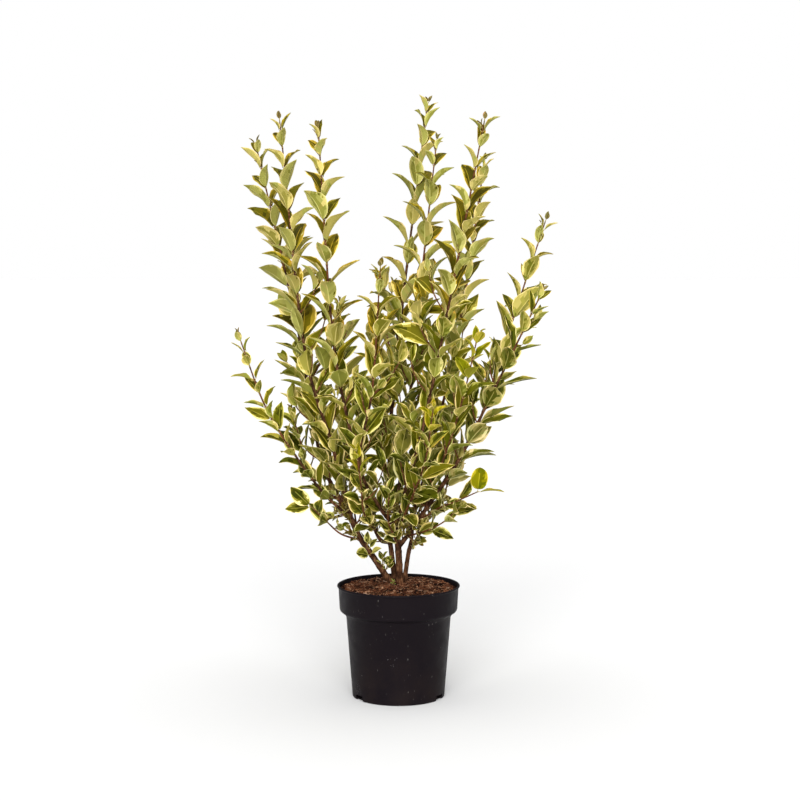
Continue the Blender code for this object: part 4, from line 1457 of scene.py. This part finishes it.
class Blade:
    """The grid of a leaf's corners and faces, for a number of rows and of bands each side."""

    def __init__(self, rows, bands):
        self.rows = rows
        self.bands = bands
        even = np.arange(1, rows + 1) / (rows + 1)
        self.t = 0.35 * even + 0.65 * (0.5 - 0.5 * np.cos(math.pi * even))
        columns = 2 * bands + 2
        top = 2 + np.arange(rows * columns).reshape(rows, columns)
        under = top.copy()
        under[:, 1:-1] = top.max() + 1 + np.arange(rows * (columns - 2)).reshape(rows, -1)
        self.top, self.under = top, under
        self.faces = []
        self.upper, self.band, self.sector, self.half = [], [], [], []
        for upper, grid in ((True, top), (False, under)):
            for c in range(columns - 1):
                strip = [(0, grid[0, c], grid[0, c + 1])]
                strip += [
                    (grid[r, c], grid[r + 1, c], grid[r + 1, c + 1], grid[r, c + 1])
                    for r in range(rows - 1)
                ]
                strip.append((grid[-1, c], 1, grid[-1, c + 1]))
                self.faces += [tuple(face) if upper else tuple(reversed(face)) for face in strip]
                self.upper += [upper] * len(strip)
                self.band += [abs(c - bands)] * len(strip)
                self.half += [int(c > bands)] * len(strip)
                self.sector += list(range(rows + 1))
        self.upper = np.array(self.upper)
        self.triangles = sum(len(face) - 2 for face in self.faces)

    def edge_lines(self, draws, count, broad, uneven):
        """How far out from the midrib each column lies, in each row and on each side."""

        def wave(waves):
            start = draws.uniform(0, 2 * math.pi, (count, 2, 1))
            return np.sin(2 * math.pi * waves * self.t[None, None, :] + start)

        line = np.zeros((count, 2, self.rows))
        for waves, share in LINE_WAVES:
            line += share * wave(waves)
        line += draws.normal(0, FEATHERING, line.shape)
        edge = np.clip(1 - broad[:, None, None] - uneven * line, *LINE_LIMITS)
        inner = RIB_HALF_WIDTH + 0.02
        sway = BAND_SWAY * wave(BAND_WAVES)
        columns = [np.full_like(edge, RIB_HALF_WIDTH)]
        for share in np.linspace(0, 1, self.bands)[1:-1]:
            columns.append(inner + (edge - inner) * np.clip(share + sway, 0, 0.9))
        columns += [edge, np.ones_like(edge)]
        columns = np.stack(columns, axis=-1)
        return np.concatenate([-columns[:, 0, :, ::-1], columns[:, 1]], axis=-1)


def blade_width(t, width_share):
    """The leaf's half width along it, as a share of its greatest: a broad leaf has a blunter tip."""
    tip_power = np.interp(width_share, *BLADE_TIP_POWERS)
    broadest = BLADE_RISE_POWER / (BLADE_RISE_POWER + tip_power)
    most = broadest**BLADE_RISE_POWER * (1 - broadest) ** tip_power
    return t**BLADE_RISE_POWER * (1 - t) ** tip_power / most


def gathered(leaves, *names):
    """The leaves' values of each of these names, as arrays with an entry for each leaf."""
    return [np.array([getattr(leaf, name) for leaf in leaves]) for name in names]


def blade_corners(blade, leaves, draws, habit):
    """The corners of many leaves, each folded, arched, twisted and waved in its own way."""
    count = len(leaves)
    root, reach, face, side = (
        values[:, None, None, :] for values in gathered(leaves, "root", "reach", "face", "side")
    )
    length, width, twig_radius = (
        values[:, None, None] for values in gathered(leaves, "length", "width_share", "twig_radius")
    )
    one = (count, 1, 1)
    s = blade.edge_lines(draws, count, draws.uniform(*habit["edge"], count), habit["uneven"])
    t = blade.t[None, :, None] + VEIN_SWEEP * np.abs(s) * np.sin(math.pi * blade.t)[None, :, None]
    bend = np.clip(draws.normal(*habit["bend"], one), LEAST_BEND, None)
    fold = draws.normal(*habit["fold"], one)
    twist = draws.normal(0, habit["twist"], one)
    blade_length = length - PETIOLE_LENGTH

    def spine(t):
        """The blade's middle line at a share of its length, with its normal and its way across."""
        slope = bend * (0.5 - t)
        run = (np.sin(0.5 * bend) - np.sin(slope)) / bend
        lift = (np.cos(slope) - np.cos(0.5 * bend)) / bend
        along = twig_radius + PETIOLE_LENGTH + blade_length * run
        middle = root + along[..., None] * reach + (blade_length * lift)[..., None] * face
        normal = np.cos(slope)[..., None] * face - np.sin(slope)[..., None] * reach
        turn = (twist * (t - TWIST_PIVOT))[..., None]
        across = np.cos(turn) * side - np.sin(turn) * normal
        return middle, np.cos(turn) * normal + np.sin(turn) * side, across

    middle, normal, across = spine(t)
    out = np.abs(s)
    shape = blade_width(t, width)
    half = 0.5 * width * length * shape
    wave = draws.uniform(*EDGE_WAVE_HEIGHTS, one) * length * shape * out**3
    wave = wave * np.sin(EDGE_WAVE * t + np.sign(s) + draws.uniform(0, 2 * math.pi, one))
    by_turns = (np.arange(blade.rows) % 2 - 0.5)[None, :, None]
    ripple = VEIN_RELIEF * length * by_turns * np.sin(math.pi * out)
    raised = half * np.sin(fold) * (out - FOLD_EASING * out**3) + wave + ripple * shape
    raised = raised - np.where(out < 0.1, RIB_DEPTH, 0.0)
    sideways = (half * s * np.cos(fold * out**0.5))[..., None] * across
    thick = 0.5 * BLADE_THICKNESS * (1 - EDGE_THINNING * out)
    upper = middle + sideways + (raised + thick)[..., None] * normal
    lower = middle + sideways + (raised - thick)[..., None] * normal
    rim = middle + sideways + raised[..., None] * normal
    corners = np.zeros((count, blade.under.max() + 1, 3))
    corners[:, 0] = spine(np.zeros(one))[0][:, 0, 0]
    corners[:, 1] = spine(np.ones(one))[0][:, 0, 0]
    corners[:, blade.under[:, 1:-1].ravel()] = lower[:, :, 1:-1].reshape(count, -1, 3)
    corners[:, blade.top[:, 1:-1].ravel()] = upper[:, :, 1:-1].reshape(count, -1, 3)
    for column in (0, -1):
        corners[:, blade.top[:, column]] = rim[:, :, column]
    return corners


# How each kind of leaf lies and is coloured, in the order of the names below: from the dark
# middle to the edge, plain or warm, on the upper side, and then underneath, with the midrib last.
# Bend, fold and twist are in radians, the edge's breadth and unevenness are shares of the half
# width, and warm is the share of leaves with a golden edge.
GREENS = (
    "dark", "green", "pale", "edge", "warm_edge", "under_dark", "under", "under_pale", "under_edge",
    "midrib",
)
DARK, GREEN, PALE, EDGE, WARM_EDGE, UNDER_DARK, UNDER, UNDER_PALE, UNDER_EDGE, MIDRIB = range(10)
# The upper-side colours below hold painted shade and the underside colours painted light, on top of the
# leaves' own darker top and paler underside.
LEAF_KINDS = {
    "golden": dict(
        bend=(0.95, 0.22), fold=(0.62, 0.14), twist=0.25, edge=(0.05, 0.18), uneven=0.08, warm=0.58,
        colours=(
            (70, 62, 2), (96, 87, 7), (154, 133, 34), (228, 207, 116), (186, 150, 44),
            (144, 138, 60), (169, 161, 84), (200, 188, 110), (236, 216, 146), (210, 199, 120),
        ),
    ),
    "middle": dict(
        bend=(0.60, 0.26), fold=(0.54, 0.14), twist=0.28, edge=(0.08, 0.21), uneven=0.10, warm=0.30,
        colours=(
            (66, 66, 2), (97, 94, 10), (160, 151, 57), (246, 225, 144), (210, 173, 68),
            (112, 111, 32), (150, 146, 63), (190, 179, 96), (245, 226, 150), (196, 186, 102),
        ),
    ),
    "shade": dict(
        bend=(0.44, 0.26), fold=(0.46, 0.14), twist=0.30, edge=(0.08, 0.22), uneven=0.10, warm=0.12,
        colours=(
            (52, 54, 2), (80, 81, 10), (134, 130, 50), (240, 219, 144), (212, 189, 96),
            (84, 86, 20), (124, 122, 48), (166, 158, 84), (238, 220, 148), (164, 157, 84),
        ),
    ),
    "low": dict(
        bend=(0.40, 0.26), fold=(0.44, 0.14), twist=0.32, edge=(0.10, 0.26), uneven=0.11, warm=0.06,
        colours=(
            (52, 52, 4), (92, 89, 20), (158, 149, 72), (232, 216, 152), (212, 192, 112),
            (102, 100, 40), (144, 138, 70), (186, 175, 106), (236, 221, 158), (180, 171, 104),
        ),
    ),
    "young": dict(
        bend=(0.75, 0.25), fold=(0.55, 0.12), twist=0.25, edge=(0.06, 0.18), uneven=0.06, warm=0.30,
        colours=(
            (94, 94, 0), (122, 119, 2), (158, 149, 26), (212, 190, 76), (194, 154, 40),
            (132, 128, 24), (156, 149, 44), (182, 168, 66), (214, 192, 90), (178, 168, 66),
        ),
    ),
    "sprout": dict(
        bend=(0.50, 0.20), fold=(0.60, 0.12), twist=0.30, edge=(0.05, 0.15), uneven=0.06, warm=0.0,
        colours=(
            (48, 84, 6), (72, 112, 18), (100, 140, 44), (130, 158, 66), (130, 158, 66),
            (70, 100, 24), (92, 124, 44), (116, 146, 66), (140, 164, 84), (120, 146, 66),
        ),
    ),
    "tip": dict(
        bend=(0.50, 0.20), fold=(0.60, 0.12), twist=0.20, edge=(0.05, 0.15), uneven=0.06, warm=0.50,
        colours=(
            (70, 54, 22), (92, 78, 26), (124, 106, 44), (164, 142, 78), (142, 104, 50),
            (96, 82, 46), (118, 106, 58), (142, 130, 76), (170, 150, 98), (134, 120, 70),
        ),
    ),
}

# The four tones in which each colour is dealt out, from dark to light, as shares of its red,
# green and blue
LEAF_TONES = ((0.78, 0.82, 0.74), (0.91, 0.99, 0.90), (1.04, 1.0, 1.0), (1.20, 1.14, 1.12))

# Leaves are golden, middle or shade above these heights, each give or take a stray height
GOLDEN_FROM, MIDDLE_FROM, SHADE_FROM = 0.56, 0.39, 0.30
STRAY_HEIGHT = 0.03

# Shoots whose leaves turn golden only this much higher up than the others'
SHADED_SHOOTS = {"right_outer": 0.12, "right_upper": 0.13, "right_front": 0.03, "right_back": 0.04}

# The small shoots at the foot whose leaves are of one kind, whatever their height
SPRIG_KINDS = {"foot_sprig": "shade", "second_sprig": "shade", "sprout": "sprout"}

# Where a leaf's colours change, in the uneven values that run along each of its halves
DARK_BY_RIB, DARK_ANYWHERE = 0.1, -1.1
PALE_BY_EDGE, PALE_FURTHER_IN = -0.4, 1.1
NO_EDGE, WIDE_EDGE, NOT_WARM = -1.5, 1.9, -0.6
UNDER_DARK_LEANING = 0.5
RIB_LENGTH = 0.75
TONE_MEAN, TONE_SPREAD, TONE_RUNS = 2.0, 0.78, 0.34


def leaf_finishes(kind, colours):
    """Plain finishes for one kind of leaf, with each of its colours in every tone."""
    made = []
    for number, tone in enumerate(LEAF_TONES):
        for what, colour in zip(GREENS, colours):
            shade = tuple(min(1.0, share * value) for share, value in zip(tone, srgb(*colour)))
            made.append(plain_finish(f"leaf_{kind}_{what}_{number}", shade, 0.55, 0.05))
    return made


def runs_along(draws, count, rows):
    """Uneven values for each half of each leaf, which change slowly from one side vein to the next."""
    values = draws.normal(0, 1, (count, 2, rows))
    for row in range(1, rows):
        values[:, :, row] = 0.7 * values[:, :, row - 1] + 0.7 * values[:, :, row]
    return values


def leaf_colours(blade, count, draws, warm_share):
    """Each face's finish: dark by the midrib, a paler flank, and an uneven cream or gold edge."""
    band, sector, half = (np.array(values) for values in (blade.band, blade.sector, blade.half))
    inner, flank = (runs_along(draws, count, blade.rows + 1)[:, half, sector] for _ in range(2))
    leaning = draws.normal(0, 0.5, (count, 1))
    by_rib, by_edge = (band <= 1)[None, :], (band == blade.bands - 1)[None, :]
    second = (band == blade.bands - 2)[None, :]
    dark = (by_rib & (inner + leaning < DARK_BY_RIB)) | (inner + leaning < DARK_ANYWHERE)
    pale = (by_edge & (flank - leaning > PALE_BY_EDGE)) | (second & (flank - leaning > PALE_FURTHER_IN))
    upper = np.where(pale, PALE, np.where(dark, DARK, GREEN))
    under_dark = dark & (leaning < UNDER_DARK_LEANING)
    under = np.where(pale, UNDER_PALE, np.where(under_dark, UNDER_DARK, UNDER))
    warm = (draws.uniform(0, 1, (count, 1)) < warm_share) & (flank > NOT_WARM)
    outermost = (band == blade.bands)[None, :]
    edge = (outermost & (flank > NO_EDGE)) | (by_edge & (flank > WIDE_EDGE))
    upper = np.where(edge, np.where(warm, WARM_EDGE, EDGE), upper)
    under = np.where(edge, UNDER_EDGE, under)
    rib = (band == 0) & (sector < RIB_LENGTH * blade.rows)
    upper = np.where(rib[None, :], PALE, upper)
    under = np.where(rib[None, :], MIDRIB, under)
    tones = draws.normal(TONE_MEAN, TONE_SPREAD, (count, 1)) + TONE_RUNS * (inner + flank)
    tones = np.clip(tones, 0, len(LEAF_TONES) - 0.01).astype(int)
    return np.where(blade.upper[None, :], upper, under) + len(GREENS) * tones


def kind_of(leaf, shaded, draws):
    """Which kind a leaf is, by its height, its size and whether its shoot is still young."""
    height = leaf.middle[2] - shaded + draws.normal(0, STRAY_HEIGHT)
    if leaf.young:
        return "young"
    if leaf.length < TIP_LEAF and height > LOW_LEAVES:
        return "tip"
    if height > GOLDEN_FROM:
        return "golden"
    if height > MIDDLE_FROM:
        return "middle"
    return "shade" if height > SHADE_FROM else "low"


def petioles(leaves):
    """The leaf stalks, as short tubes from inside the twig to inside the blade."""
    root, reach, side, twig_radius = gathered(leaves, "root", "reach", "side", "twig_radius")
    face = np.cross(reach, side)
    turns = np.arange(PETIOLE_SIDES) * 2 * math.pi / PETIOLE_SIDES
    across, up = np.cos(turns)[None, :, None], np.sin(turns)[None, :, None]
    rings = []
    for share in np.linspace(0, 1, PETIOLE_RINGS):
        reached = share * (PETIOLE_LENGTH + PETIOLE_SUNK + 0.7 * twig_radius)
        at = (0.3 * twig_radius + reached)[:, None, None]
        ring = across * side[:, None] + up * face[:, None]
        radius = PETIOLE_RADIUS * (1.25 - 0.6 * share)
        rings.append(root[:, None] + at * reach[:, None] + radius * ring)
    return np.concatenate(rings, axis=1), strand_faces(PETIOLE_RINGS, PETIOLE_SIDES)


leaf_draws = np.random.default_rng(SEED)
large_blade = Blade(rows=12, bands=4)
small_blade = Blade(rows=7, bands=3)
sorted_leaves = {kind: [] for kind in LEAF_KINDS}
for shoot in shoots:
    for leaf in shoot.leaves:
        shaded = SHADED_SHOOTS.get(shoot.name, 0.0)
        kind = SPRIG_KINDS.get(shoot.name) or kind_of(leaf, shaded, leaf_draws)
        sorted_leaves[kind].append(leaf)
for kind, habit in LEAF_KINDS.items():
    finishes = leaf_finishes(kind, habit["colours"])
    for size, blade in (("large", large_blade), ("small", small_blade)):
        small = size == "small"
        chosen = [leaf for leaf in sorted_leaves[kind] if (leaf.length < SMALL_LEAF) == small]
        per_piece = MOST_TRIANGLES // blade.triangles
        for number, start in enumerate(range(0, len(chosen), per_piece)):
            part = chosen[start : start + per_piece]
            corners = blade_corners(blade, part, leaf_draws, habit)
            dealt = leaf_colours(blade, len(part), leaf_draws, habit["warm"])
            name = f"leaves_{kind}_{size}_{number + 1}"
            blades = shown(name, joined(name, corners, blade.faces, dealt, finishes))
            blades.data.set_sharp_from_angle(angle=LEAF_CREASE)
            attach(blades, "root")
            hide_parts(*foliage_nodes)

all_leaves = [leaf for shoot in shoots for leaf in shoot.leaves]
stalk_corners, stalk_faces = petioles(all_leaves)
stalk_finish = plain_finish("leaf_stalk", srgb(168, 150, 84), 0.5, 0.3)
dealt = np.zeros((len(all_leaves), len(stalk_faces)))
stalks = shown("leaf_stalks", joined("leaf_stalks", stalk_corners, stalk_faces, dealt, [stalk_finish]))
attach(stalks, "root")
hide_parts(*foliage_nodes)


# The studio
# A plain pale floor in an even white surround, under a low soft light from in front and a
# softer one from straight above. The camera is level with the crown and looks slightly down.

FLOOR_SIZE = 60.0
CAMERA_PLACE = (0.0023, -2.8, 0.7048)
CAMERA_TILT = math.radians(90 - 4.99)
SENSOR_WIDTH = 36.0
CAMERA_LENS = 1831.6 / 800 * SENSOR_WIDTH
SURROUND_LIGHT = 0.37
FLOOR_GREY = 0.700
KEY_LIGHT = 3.5
KEY_SOFTNESS = 45
KEY_HEIGHT = 24
KEY_TURN = -2
TOP_LIGHT = 2.2
TOP_SOFTNESS = 75
TOP_HEIGHT = 90

bpy.ops.mesh.primitive_plane_add(size=FLOOR_SIZE, location=(0, 0, 0))
floor = bpy.context.object
floor.name = "studio_floor"
floor.data.materials.append(plain_finish("studio_floor", (FLOOR_GREY,) * 3, 0.9, 0.1))

surround = bpy.data.worlds.new("studio_surround")
surround.use_nodes = True
world_nodes = surround.node_tree.nodes
even_light = world_nodes["Background"]
white_wall = world_nodes.new("ShaderNodeBackground")
for white, strength in ((even_light, SURROUND_LIGHT), (white_wall, 1.0)):
    white.inputs["Color"].default_value = (1.0, 1.0, 1.0, 1.0)
    white.inputs["Strength"].default_value = strength
seen = world_nodes.new("ShaderNodeLightPath")
either = world_nodes.new("ShaderNodeMixShader")
world_links = surround.node_tree.links
world_links.new(seen.outputs["Is Camera Ray"], either.inputs[0])
world_links.new(even_light.outputs[0], either.inputs[1])
world_links.new(white_wall.outputs[0], either.inputs[2])
world_links.new(either.outputs[0], world_nodes["World Output"].inputs["Surface"])
bpy.context.scene.world = surround

for name, strength, softness, height in (
    ("key_light", KEY_LIGHT, KEY_SOFTNESS, KEY_HEIGHT),
    ("top_light", TOP_LIGHT, TOP_SOFTNESS, TOP_HEIGHT),
):
    light = bpy.data.lights.new(name, "SUN")
    light.energy = strength
    light.angle = math.radians(softness)
    lamp = bpy.data.objects.new(name, light)
    lamp.rotation_euler = (math.radians(90 - height), 0.0, math.radians(KEY_TURN))
    bpy.context.scene.collection.objects.link(lamp)

camera_data = bpy.data.cameras.new("camera")
camera_data.lens = CAMERA_LENS
camera_data.sensor_width = SENSOR_WIDTH
camera = bpy.data.objects.new("camera", camera_data)
camera.location = CAMERA_PLACE
camera.rotation_euler = (CAMERA_TILT, 0.0, 0.0)
bpy.context.scene.collection.objects.link(camera)
bpy.context.scene.camera = camera
bpy.context.scene.view_settings.view_transform = "Standard"
